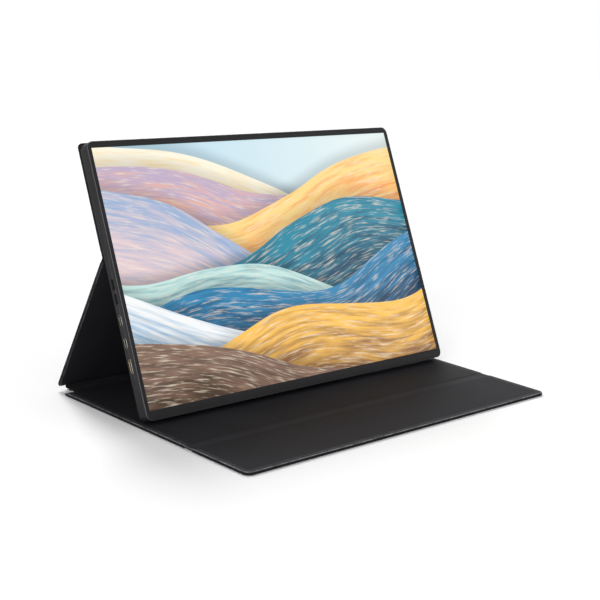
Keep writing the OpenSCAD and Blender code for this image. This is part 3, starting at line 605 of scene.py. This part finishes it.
# bands of a sheet: plain, inked, the painted highlight along the rolled top, the painted sheen of the
# border
PLAIN, INKED, HIGHLIT_EDGE, SHEEN_BORDER = range(4)
SKIN_STEPS = rolled(ROLL_UNDER, -1, [INKED] * 5) + rolled(ROLL_TOP, 1, [HIGHLIT_EDGE] * 3 + [INKED] * 4)[::-1]
SKIN_STEPS += [
    (ROLL_TOP + 0.2 * MM, 0.4 * MM, 1, 0, HIGHLIT_EDGE),
    (HEM - 0.15 * MM, 0.45 * MM, 1, 0, SHEEN_BORDER),
    (HEM, 0.5 * MM, 1, -0.12 * MM, SHEEN_BORDER),
    (HEM + 0.02 * MM, 0.52 * MM, 1, -LINING_T, INKED)]
LINING_EDGE = HEM + GROOVE
LINING_STEPS = [
    (LINING_EDGE, 0.6 * MM, 1, 0.03 * MM - LINING_T, PLAIN),
    (LINING_EDGE, 0.6 * MM, 1, -0.25 * MM, INKED),
    (LINING_EDGE + 0.15 * MM, 0.66 * MM, 1, -0.16 * MM, SHEEN_BORDER),
    (LINING_EDGE + 0.5 * MM, 0.7 * MM, 1, -0.13 * MM, SHEEN_BORDER),
    (LINING_EDGE + 3.0 * MM, 0.75 * MM, 1, -0.06 * MM, SHEEN_BORDER),
    (LINING_EDGE + 6.0 * MM, 0.8 * MM, 1, 0, PLAIN)]
print("edge steps:", len(SKIN_STEPS), "lining steps:", len(LINING_STEPS))

# %% [markdown]
# ## The five panels
# The back panel holds the monitor by magnets, the leg props it, the narrow spine and
# the base lie on the table, and the flap lies in front of them. Each gets a skin and a
# lining, which ride on the same body. The skin of a panel that can be seen from
# behind, such as the leg's, is the same leather on its outer face.

# %% Make the panels
FOLD_CORNER = 0.6 * MM
SPINE_CORNER = 1.0 * MM
LEG_CORNER = 2.5 * MM
BACK_CORNER = 4.0 * MM
FLAP_CORNER = 6.5 * MM

back_up = Vector((0, -up_screen.z, up_screen.y))
back_length = (back_high.z - middle.z - back_up.z * cover_t / 2) / up_screen.z
base_length = base_high.y - crease.y
spine_length = spine_high.y - rear_fold.y
flap_length = crease.y - fold_half - flap_low.y
leg_length = (middle - foot).length - fold_half
base_width = base_high.x - base_low.x
inset_width = spine_high.x - spine_low.x
leg_width = leg_high.x - leg_low.x
back_width = back_high.x - back_low.x
flap_start = Vector((0, flap_low.y, crease.z))
# finishes of a sheet: plain, inked, the painted edge highlight and the painted border sheen
HIGHLIT_EDGE_SKIN = [cover_leather, inked_leather, edge_highlight_leather, sheen_border_leather]
INKED_SKIN = [cover_leather, inked_leather, inked_leather, cover_leather]
# on the leg the hem band gets the bright painted highlight and the rolled top the milder painted sheen
LEG_SKIN = [cover_leather, inked_leather, sheen_border_leather, edge_highlight_leather]
SHEEN_BORDER_LINING = [cover_lining, inked_leather, cover_lining, sheen_border_leather]
PLAIN_LINING = [cover_lining, inked_leather, cover_lining, cover_lining]
CREASED_LINING = [fold_leather, inked_leather, fold_leather, fold_leather]
# name: skin finishes, lining finishes, body, start, way, low, high, width, how far the
# near and far ends sink at their folds, near and far corner
PANELS = {
    "base": (HIGHLIT_EDGE_SKIN, SHEEN_BORDER_LINING, "base", crease, FLOOR_WAY, fold_half, base_length,
             base_width, CREASE_DIP, FOLD_DIP, FOLD_CORNER, FOLD_CORNER),
    "spine": (INKED_SKIN, CREASED_LINING, "base", rear_fold, FLOOR_WAY, fold_half, spine_length,
              inset_width, FOLD_DIP, FOLD_DIP, SPINE_CORNER, SPINE_CORNER),
    "flap": (HIGHLIT_EDGE_SKIN, SHEEN_BORDER_LINING, "front_flap", flap_start, FLOOR_WAY, 0, flap_length,
             base_width, None, CREASE_DIP, FLAP_CORNER, FOLD_CORNER),
    "leg": (LEG_SKIN, PLAIN_LINING, "leg", foot, leg_way, fold_half, leg_length,
            leg_width, FOLD_DIP, FOLD_DIP, LEG_CORNER, FOLD_CORNER),
    "back_panel": (INKED_SKIN, PLAIN_LINING, "back_panel", middle, up_screen, fold_half,
                   back_length, back_width, FOLD_DIP, None, FOLD_CORNER, BACK_CORNER),
}
for panel_name, (skin_finishes, lining_finishes, body, *shape) in PANELS.items():
    panel = Panel(*shape)
    skin = panel_mesh(panel_name + "_leather", panel, SKIN_STEPS, skin_finishes)
    hand_over(skin, body, "cover_leather", panel_name + "_skin")
    lining = panel_mesh(panel_name + "_lining_sheet", panel, LINING_STEPS, lining_finishes)
    hand_over(lining, body, "cover_lining", panel_name + "_lining")

# %% [markdown]
# ## The folds
# At a fold there is no board, only leather on both sides pressed together. It bends
# on a small radius and, after some use, keeps fine lines along the bend. Each strip
# laps a little over the two panels that it joins. A strip that crosses a joint rides
# on neither body and stays fixed where it is made.

# %% The path across a fold
LAP = 1.0 * MM
LAP_LIFT = 0.03 * MM
FOLD_ENDS = [0, 0.07 * MM, 0.26 * MM, 0.9 * MM, 1.3 * MM]
FOLD_STEP = 4 * MM
STRAIGHT_STEPS = 16
BEND_STEPS = 14
LAP_RAMP = 0.25 * MM
LAP_DIVE = 0.12 * MM
CREASE_LINE = 1.25 * MM
CREASE_LENGTH = 60 * MM
CREASE_DEPTH = 0.035 * MM
# how far apart the two faces of a fold read the noise
CREASE_SLICE = 5.3


def fold_path(place, before, after, radius):
    """Points across a fold with their upward direction and distance from the fold line."""
    reach = fold_half + LAP
    start = math.atan2(before.z, before.y)
    turn = math.atan2(after.z, after.y) - start
    tangent = radius * math.tan(abs(turn) / 2)
    straight = [reach - (reach - tangent) * k / STRAIGHT_STEPS for k in range(STRAIGHT_STEPS + 1)]
    path = [(place - before * s, start, -s) for s in straight]
    if turn:
        side = math.copysign(radius, turn)
        bend_start = place - before * tangent
        for k in range(1, BEND_STEPS):
            heading = start + turn * k / BEND_STEPS
            swing = Vector((0, math.sin(heading) - math.sin(start), math.cos(start) - math.cos(heading)))
            path.append((bend_start + swing * side, heading, tangent * (2 * k / BEND_STEPS - 1)))
    path += [(place + after * s, start + turn, s) for s in reversed(straight)]
    if tangent == 0:
        path.pop(STRAIGHT_STEPS)
    return [(spot, Vector((0, -math.sin(angle), math.cos(angle))), s) for spot, angle, s in path]


print("points across a flat fold:", len(fold_path(crease, FLOOR_WAY, FLOOR_WAY, MM)))


# %% The strip of leather
def fold_height(distance, dip):
    """How far a face of the strip lies from its middle, at a distance from the fold line."""
    gap = abs(distance) - fold_half
    dive = LAP_DIVE * smooth_step((gap - LAP + LAP_RAMP) / LAP_RAMP)
    return cover_t / 2 - dip * smooth_step(1 - gap / SINK) + LAP_LIFT - dive


def rolled_off(inset, radius):
    """How much a face is lowered at a distance in from a rolled end."""
    return radius - math.sqrt(radius ** 2 - max(0, radius - inset) ** 2)


def fold_strip(name, place, before, after, width, dip, edge_leather, radius=1.3 * MM):
    """A closed strip of leather along a fold. The edge leather covers its rolled ends on top."""
    path = fold_path(place, before, after, radius)
    count = round(width / FOLD_STEP)
    reach = width / 2 - FOLD_ENDS[-1]
    inner = [reach * (2 * k / count - 1) for k in range(1, count)]
    columns = ([inset - width / 2 for inset in FOLD_ENDS] + inner
               + [width / 2 - inset for inset in reversed(FOLD_ENDS)])
    points, faces, slots = [], [], []
    for x in columns:
        inset = width / 2 - abs(x)
        for face in (1, -1):
            for spot, up, distance in (path if face > 0 else reversed(path)):
                ripple = noise.noise(Vector((x / CREASE_LENGTH, distance / CREASE_LINE,
                                             face * CREASE_SLICE + SEED)))
                inside = smooth_step(1 - abs(distance) / fold_half)
                height = fold_height(distance, dip if face > 0 else UNDER_DIP)
                height += CREASE_DEPTH * ripple * inside
                height -= rolled_off(inset, ROLL_TOP if face > 0 else ROLL_UNDER)
                points.append(spot + up * height * face + Vector((x, 0, 0)))
    size = 2 * len(path)
    for i in range(len(columns) - 1):
        inset = width / 2 - abs(columns[i] + columns[i + 1]) / 2
        for j in range(size):
            after_j = (j + 1) % size
            here, there = i * size, (i + 1) * size
            faces.append([here + j, here + after_j, there + after_j, there + j])
            at_end = INKED if inset < FOLD_ENDS[2] or j >= len(path) else HIGHLIT_EDGE
            slots.append(PLAIN if inset > ROLL_TOP else at_end)
    last = (len(columns) - 1) * size
    for j in range(len(path) - 1):
        pair = [j, size - 1 - j, size - 2 - j, j + 1]
        faces.append(pair)
        faces.append([last + k for k in reversed(pair)])
        slots += [INKED, INKED]
    strip = make_object(name, points, faces, fold_leather, sharp_deg=60)
    strip.data.materials.append(inked_leather)
    strip.data.materials.append(edge_leather)
    strip.data.polygons.foreach_set("material_index", slots)
    return strip


# %% Make the folds
# name: place, way before, way after, width, dip, edge leather, two bodies, node
FOLDS = {
    # the crease's rolled ends get the same painted highlight as the edges beside them
    "crease_leather": (crease, FLOOR_WAY, FLOOR_WAY, base_width, CREASE_DIP, edge_highlight_leather,
                       "front_flap", "base", "front_fold"),
    "rear_fold_leather": (rear_fold, FLOOR_WAY, FLOOR_WAY, inset_width, FOLD_DIP, inked_leather,
                          "base", "base", "spine_fold"),
    "foot_fold_leather": (foot, FLOOR_WAY, leg_way, inset_width, FOLD_DIP, inked_leather,
                          "base", "leg", "foot_fold"),
    "middle_fold_leather": (middle, leg_way, up_screen, leg_width, FOLD_DIP, inked_leather,
                            "leg", "back_panel", "mid_fold"),
}
for fold_name, (*shape, body_a, body_b, node) in FOLDS.items():
    strip = fold_strip(fold_name, *shape)
    if body_a == body_b:
        hand_over(strip, body_a, "fold_leather", node)
    else:
        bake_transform(strip)
        hand_over(strip, None, "fold_leather", node)

# %% [markdown]
# ## The monitor's shell
# A mould never leaves a knife edge: the bezel's rim, the window and the mouths of the
# sockets have a small round that catches the light as a thin bright line. The round
# on the bezel's rim is glossier and lighter than the bezel: the gloss is real, and the
# lighter colour is a painted highlight. The solids have the exact shape but sharp
# edges, so a copy of each is merged, its flat faces are joined again, and the edges
# that a hand or an eye meets are bevelled.

# %% Measure the monitor
screen_way = Matrix((Vector((1, 0, 0)), behind_screen, up_screen))
NEAR = 0.02 * MM
MONITOR_CORNER = 6 * MM


def span(spots):
    """The lowest and the highest corner of the box round some places."""
    return [Vector([end(spot[axis] for spot in spots) for axis in range(3)]) for end in (min, max)]


bezel_spots = [screen_way @ vert.co for vert in frame["nodes"]["front_bezel"].data.vertices]
screen_low, screen_high = span(bezel_spots)
screen_size = screen_high - screen_low
screen_matrix = screen_way.transposed().to_4x4()
screen_matrix.translation = screen_way.transposed() @ screen_low


def on_monitor(point):
    """A point's place from the monitor's lower left front corner: across, behind, up."""
    return screen_way @ point - screen_low


def spots_of(node):
    """Where the corners of a node lie on the monitor."""
    return [on_monitor(vert.co) for vert in frame["nodes"][node].data.vertices]


def inside_outline(spot):
    """How far a place lies inside the monitor's rounded outline, seen from the front."""
    half_x, half_z = screen_size.x / 2, screen_size.z / 2
    dx = abs(spot.x - half_x) - half_x + MONITOR_CORNER
    dz = abs(spot.z - half_z) - half_z + MONITOR_CORNER
    outside = math.hypot(max(dx, 0), max(dz, 0)) + min(max(dx, dz), 0)
    return MONITOR_CORNER - outside


print("screen size in mm:", [round(value / MM, 1) for value in screen_size])

# %% Round the edges of copies
BEZEL_T = 1 * MM
MERGE = 0.002 * MM
FLAT_DEG = 0.6
EDGE_DEG = 40


def softened(node, name, passes, material, edge_material=None, sharp_deg=35):
    """A copy of a solid. Each pass is (radius, name in EDGES): edges with both ends there are
    rounded, and the new faces get the edge material if there is one."""
    work = bmesh.new()
    work.from_mesh(frame["nodes"][node].data)
    bmesh.ops.remove_doubles(work, verts=work.verts, dist=MERGE)
    bmesh.ops.dissolve_limit(work, angle_limit=math.radians(FLAT_DEG), verts=work.verts,
                             edges=work.edges)
    for radius, where in passes:
        edges = [edge for edge in work.edges
                 if len(edge.link_faces) == 2 and edge.calc_face_angle() > math.radians(EDGE_DEG)
                 and all(EDGES[where](on_monitor(vert.co)) for vert in edge.verts)]
        made = bmesh.ops.bevel(work, geom=edges, offset=radius, segments=3, profile=0.5,
                               affect="EDGES", clamp_overlap=False)
        for face in made["faces"]:
            face.material_index = 1 if edge_material else 0
    slots = [face.material_index for face in work.faces]
    mesh = bpy.data.meshes.new(name)
    work.to_mesh(mesh)
    work.free()
    piece = finish_object(name, mesh, material, sharp_deg)
    if edge_material:
        mesh.materials.append(edge_material)
        mesh.polygons.foreach_set("material_index", slots)
    return piece


# the places of both ends of an edge decide whether it belongs to a group
EDGES = {
    "bezel rim": lambda spot: spot.y < NEAR and inside_outline(spot) < NEAR,
    "window": lambda spot: spot.y < NEAR and inside_outline(spot) > BEZEL_T,
    "housing rim": lambda spot: spot.y < BEZEL_T and inside_outline(spot) < NEAR,
    "left side": lambda spot: abs(spot.x) < NEAR,
    "bottom": lambda spot: spot.z < NEAR and spot.y > BEZEL_T + 0.2 * MM,
    "button crown": lambda spot: spot.x < -0.2 * MM,
    "socket mouth": lambda spot: spot.x < 0.15 * MM,
    "tongue tip": lambda spot: spot.x < 1.2 * MM,
    "all": lambda spot: True,
}
# the round of the rim gets the glossy finish, whose lighter colour is a painted highlight
bezel = softened("front_bezel", "front_bezel_moulding", [
    (0.5 * MM, "bezel rim"), (0.15 * MM, "window")], bezel_plastic, chamfer_highlight_plastic)
hand_over(bezel, "monitor", "bezel_plastic", "front_bezel")
housing = softened("rear_housing", "rear_housing_moulding", [
    (0.15 * MM, "housing rim"), (0.12 * MM, "left side"), (0.1 * MM, "bottom")], housing_plastic)
hand_over(housing, "monitor", "housing_plastic", "rear_housing")

# %% [markdown]
# ## Buttons and sockets
# The power button and the menu rocker are satin caps that stand a little out of the
# left side. Their colour, darker than the housing's, is a painted shade for the dark
# gaps round them. Below them are two data sockets of stamped steel and a wider video
# socket with a gold flash. Inside each shell a nylon tongue carries the contacts.

# %% Round the buttons, the shells and the tongues
def side_piece(node, name, body, radius, where, material, slot):
    """A rounded copy of a solid in the left side, on its body."""
    hand_over(softened(node, name, [(radius, where)], material), body, slot, node)


# the dark colour of the buttons is a painted shade for the gaps round them
BUTTON = (0.3 * MM, "button crown", button_plastic, "button_plastic")
SHELL = (0.08 * MM, "socket mouth", socket_steel, "socket_steel")
GOLD_SHELL = (0.08 * MM, "socket mouth", socket_gold, "socket_gold")
TONGUE = (0.12 * MM, "tongue tip", connector_plastic, "connector_plastic")
side_piece("power_button", "power_button_cap", "power_button", *BUTTON)
side_piece("menu_rocker", "menu_rocker_cap", "menu_rocker", *BUTTON)
# the gap in each name takes a part of the socket
SOCKETS = {"usb_c_%s_upper": SHELL, "usb_c_%s_lower": SHELL, "mini_hdmi_%s": GOLD_SHELL}
for socket, shell in SOCKETS.items():
    side_piece(socket % "shell", socket % "can", "monitor", *shell)
for socket in SOCKETS:
    side_piece(socket % "tongue", socket % "insert", "monitor", *TONGUE)

# %% [markdown]
# ## Contacts in the sockets
# Contacts repeat at an even pitch on both faces of a tongue, so a small geometry
# node tree lays them out: a line of points, a flat bar on each point, then real
# geometry with its material. The tree's inputs are the count, the pitch and the size
# of a contact, and the same tree serves all three sockets.

# %% A tree that lays out one row
def contact_tree():
    """A line of points along Z with a bar on each of them."""
    tree = bpy.data.node_groups.new("contact_row", "GeometryNodeTree")
    face = tree.interface
    for label, kind in (("Count", "Int"), ("Pitch", "Float"), ("Contact Size", "Vector"),
                        ("Finish", "Material")):
        face.new_socket(label, in_out="INPUT", socket_type="NodeSocket" + kind)
    face.new_socket("Geometry", in_out="OUTPUT", socket_type="NodeSocketGeometry")
    given = add(tree, "NodeGroupInput")
    step = add(tree, "ShaderNodeCombineXYZ", {"Z": given.outputs["Pitch"]})
    line = add(tree, "GeometryNodeMeshLine", {"Count": given.outputs["Count"], "Offset": step})
    bar = add(tree, "GeometryNodeMeshCube", {"Size": given.outputs["Contact Size"]})
    copies = add(tree, "GeometryNodeInstanceOnPoints", {"Points": line, "Instance": bar})
    real = add(tree, "GeometryNodeRealizeInstances", {0: copies})
    painted = add(tree, "GeometryNodeSetMaterial", {"Geometry": real,
                                                    "Material": given.outputs["Finish"]})
    add(tree, "NodeGroupOutput", {0: painted})
    return tree


contact_rows = contact_tree()
print("steps in the tree:", [node.bl_label for node in contact_rows.nodes])


# %% Make the contacts
def contact_row(count, pitch, size):
    """The plain mesh of one row of contacts, starting at the origin and rising."""
    carrier = bpy.data.objects.new("contact_carrier", bpy.data.meshes.new("contact_carrier"))
    bpy.context.scene.collection.objects.link(carrier)
    rows = carrier.modifiers.new("rows", "NODES")
    rows.node_group = contact_rows
    # a modifier's input goes by its identifier, not by its name
    given = {"Count": count, "Pitch": pitch, "Contact Size": size, "Finish": contact_gold}
    for item in contact_rows.interface.items_tree:
        if item.name in given:
            rows[item.identifier] = given[item.name]
    made = carrier.evaluated_get(bpy.context.evaluated_depsgraph_get())
    mesh = bpy.data.meshes.new_from_object(made)
    carrier.modifiers.remove(rows)
    bpy.data.objects.remove(carrier)
    return mesh


CONTACT_T = 0.06 * MM
TIP_GAP = 0.5 * MM


def contacts(name, tongue_node, count, pitch, length, width):
    """Two rows of contacts, one on each face of a tongue, as one piece."""
    spots = spots_of(tongue_node)
    tip = span(spots)[0].x
    tip_ring = [spot for spot in spots if spot.x < tip + NEAR]
    centre_z = sum(spot.z for spot in tip_ring) / len(tip_ring)
    work = bmesh.new()
    # a quarter of each contact's thickness is let into the tongue
    for depth, way in zip([end.y for end in span(tip_ring)], (-1, 1)):
        mesh = contact_row(count, pitch, (length, CONTACT_T, width))
        place = Vector((tip + TIP_GAP + length / 2, depth + way * CONTACT_T / 4,
                        centre_z - pitch * (count - 1) / 2))
        mesh.transform(screen_matrix @ Matrix.Translation(place))
        work.from_mesh(mesh)
    whole = bpy.data.meshes.new(name)
    work.to_mesh(whole)
    work.free()
    return hand_over(finish_object(name, whole, contact_gold, sharp_deg=30), "monitor", "socket_gold")


# how many contacts, their pitch, length and width
DATA_ROW = (12, 0.5 * MM, 3 * MM, 0.25 * MM)
VIDEO_ROW = (9, 0.8 * MM, 4 * MM, 0.35 * MM)
for socket, row in zip(SOCKETS, (DATA_ROW, DATA_ROW, VIDEO_ROW)):
    contacts(socket % "contacts", socket % "tongue", *row)

# %% [markdown]
# ## The display
# Behind the bezel's window lies the glass cell, and on its front a thin polarising
# film with a fine matt coat, which is what one sees of a display. A narrow black rim
# is printed round the picture. The film carries a UV map that runs from 0 to 1
# over the picture.

# %% Glass cell
BEHIND_BORDER = 1.3 * MM
BEHIND_FOOT = 4.0 * MM

glass = softened("lcd_cell", "display_glass_cell", [(0.1 * MM, "all")], display_glass)
hand_over(glass, "monitor", "display_glass", "lcd_cell")
cell_low, cell_high = span(spots_of("lcd_cell"))
picture_low = Vector((cell_low.x + BEHIND_BORDER, 0, cell_low.z + BEHIND_FOOT))
picture_high = Vector((cell_high.x - BEHIND_BORDER, 0, cell_high.z - BEHIND_BORDER))
picture_size = picture_high - picture_low
print("picture in mm: %.1f x %.1f" % (picture_size.x / MM, picture_size.z / MM))

# %% Film with the picture
FILM_RIM = 0.3 * MM
FILM_T = 0.12 * MM
FILM_CORNER = 1 * MM
FILM_CORNER_STEPS = 4


def film_ring(margin, depth):
    """A rounded rectangle round the picture, drawn in by a margin, at a depth."""
    low_x, high_x = picture_low.x + margin + FILM_CORNER, picture_high.x - margin - FILM_CORNER
    low_z, high_z = picture_low.z + margin + FILM_CORNER, picture_high.z - margin - FILM_CORNER
    centres = ((high_x, low_z), (high_x, high_z), (low_x, high_z), (low_x, low_z))
    ring = []
    for quarter, (x, z) in enumerate(centres):
        for k in range(FILM_CORNER_STEPS + 1):
            turn = math.pi / 2 * (quarter - 1 + k / FILM_CORNER_STEPS)
            ring.append((x + FILM_CORNER * math.cos(turn), depth, z + FILM_CORNER * math.sin(turn)))
    return ring


film_back = cell_low.y
rings = [film_ring(-FILM_RIM, film_back), film_ring(-FILM_RIM, film_back - FILM_T / 2),
         film_ring(-FILM_RIM + FILM_T / 2, film_back - FILM_T)]
count = len(rings[0])
film_points = [screen_matrix @ Vector(spot) for ring in rings for spot in ring]
film_faces = [list(range(count))[::-1], list(range(2 * count, 3 * count))]
film_faces += [[r * count + k, r * count + (k + 1) % count, (r + 1) * count + (k + 1) % count,
                (r + 1) * count + k] for r in range(len(rings) - 1) for k in range(count)]
screen = make_object("polarising_film", film_points, film_faces, screen_picture, sharp_deg=50)
picture_map = screen.data.uv_layers.new(name="picture")
for corner in screen.data.loops:
    spot = on_monitor(screen.data.vertices[corner.vertex_index].co) - picture_low
    picture_map.data[corner.index].uv = (spot.x / picture_size.x, spot.z / picture_size.z)
hand_over(screen, "monitor", "display_glass")

# %% [markdown]
# ## Finishes for what stays inside
# The boards, films, speakers and magnets keep their solids, because their shapes
# are right as they are. A table gives each of them its finish.

# %% Paint the inner pieces
INNER = {
    foam_tape: ["bezel_tape"],
    white_film: ["diffuser_films", "reflector_sheet"],
    clear_acrylic: ["light_guide"],
    diode_lens: ["leds"],
    board_green: ["led_strip", "panel_board", "main_board"],
    panel_metal: ["panel_tray", "shield_can"],
    flex_film: ["driver_films", "panel_cable"],
    screw_steel: ["board_screws"],
    black_plastic: ["scaler_chip", "board_coils", "power_switch", "menu_switches", "speaker_left",
                    "speaker_right"],
    connector_plastic: ["cable_connectors"],
    lead_insulation: ["speaker_leads"],
    magnet_nickel: ["housing_magnets", "back_panel_magnets"],
    cover_board: ["back_panel_board", "leg_board", "spine_board", "base_board", "flap_board"],
}
for material, names in INNER.items():
    for name in names:
        slots = frame["nodes"][name].data.materials
        slots.clear()
        slots.append(material)
print("inner pieces painted:", sum(len(names) for names in INNER.values()))

# %% [markdown]
# ## A plain studio
# The product stands on a white table. A soft key light from high behind its right
# shoulder lets the monitor shade the cover in front of it and the table to its left. A
# weaker fill from the front left reaches into the tent and the side with the sockets,
# and even light from all round does the rest. The camera and reflections see the
# table and the surroundings pure white, while the light that falls on the product
# stays at a level that shows its colours as they are.

# %% Table
TABLE_SIZE = 8.0
TABLE_DROP = 0.1 * MM
TABLE_GLOW = 0.06


def seen_directly(tree):
    """1 for rays from the camera, or mirrored or refracted ones, and 0 for diffuse light."""
    rays = add(tree, "LightPath").outputs
    seen = rays["Is Camera Ray"]
    for kind in ("Is Glossy Ray", "Is Transmission Ray"):
        seen = add(tree, "Math", {0: seen, 1: rays[kind]}, operation="MAXIMUM")
    return seen


tree = new_material("white_table_paint")[0]
diffuse = add(tree, "BsdfDiffuse", {"Color": linear("#f7f7f7")})
level = add(tree, "Math", {0: seen_directly(tree), 1: TABLE_GLOW}, operation="MULTIPLY")
glow = add(tree, "Emission", {"Strength": level})
add(tree, "OutputMaterial", {"Surface": add(tree, "AddShader", {0: diffuse, 1: glow})})
half = TABLE_SIZE / 2
corners = [(x, y, -TABLE_DROP) for x, y in ((-half, -half), (half, -half), (half, half), (-half, half))]
table = make_object("white_table", corners, [[0, 1, 2, 3]], bpy.data.materials["white_table_paint"])
print("table:", TABLE_SIZE, "m wide")

# %% Surroundings and lamps
WORLD_LIGHT = 0.5
# name: where it comes from, strength, softness in degrees
LAMPS = {
    "key_softbox": ((0.40, 0.95, 1.0), 2.05, 20),
    "fill_softbox": ((-0.85, -0.45, 0.22), 1.7, 40),
}

world = bpy.data.worlds.new("white_studio")
bpy.context.scene.world = world
world.use_nodes = True
tree = world.node_tree
tree.nodes.clear()
sky = add(tree, "MapRange", {"Value": seen_directly(tree), "To Min": WORLD_LIGHT, "To Max": 1.0})
surroundings = add(tree, "Background", {"Color": linear("#ffffff"), "Strength": sky})
add(tree, "OutputWorld", {"Surface": surroundings})

for lamp_name, (way, strength, softness) in LAMPS.items():
    lamp = bpy.data.lights.new(lamp_name, "SUN")
    lamp.energy = strength
    lamp.angle = math.radians(softness)
    holder = bpy.data.objects.new(lamp_name, lamp)
    holder.rotation_euler = (-Vector(way)).to_track_quat("-Z", "Y").to_euler()
    bpy.context.scene.collection.objects.link(holder)
bpy.context.scene.view_settings.view_transform = "Standard"
print("lamps:", len(bpy.data.lights))
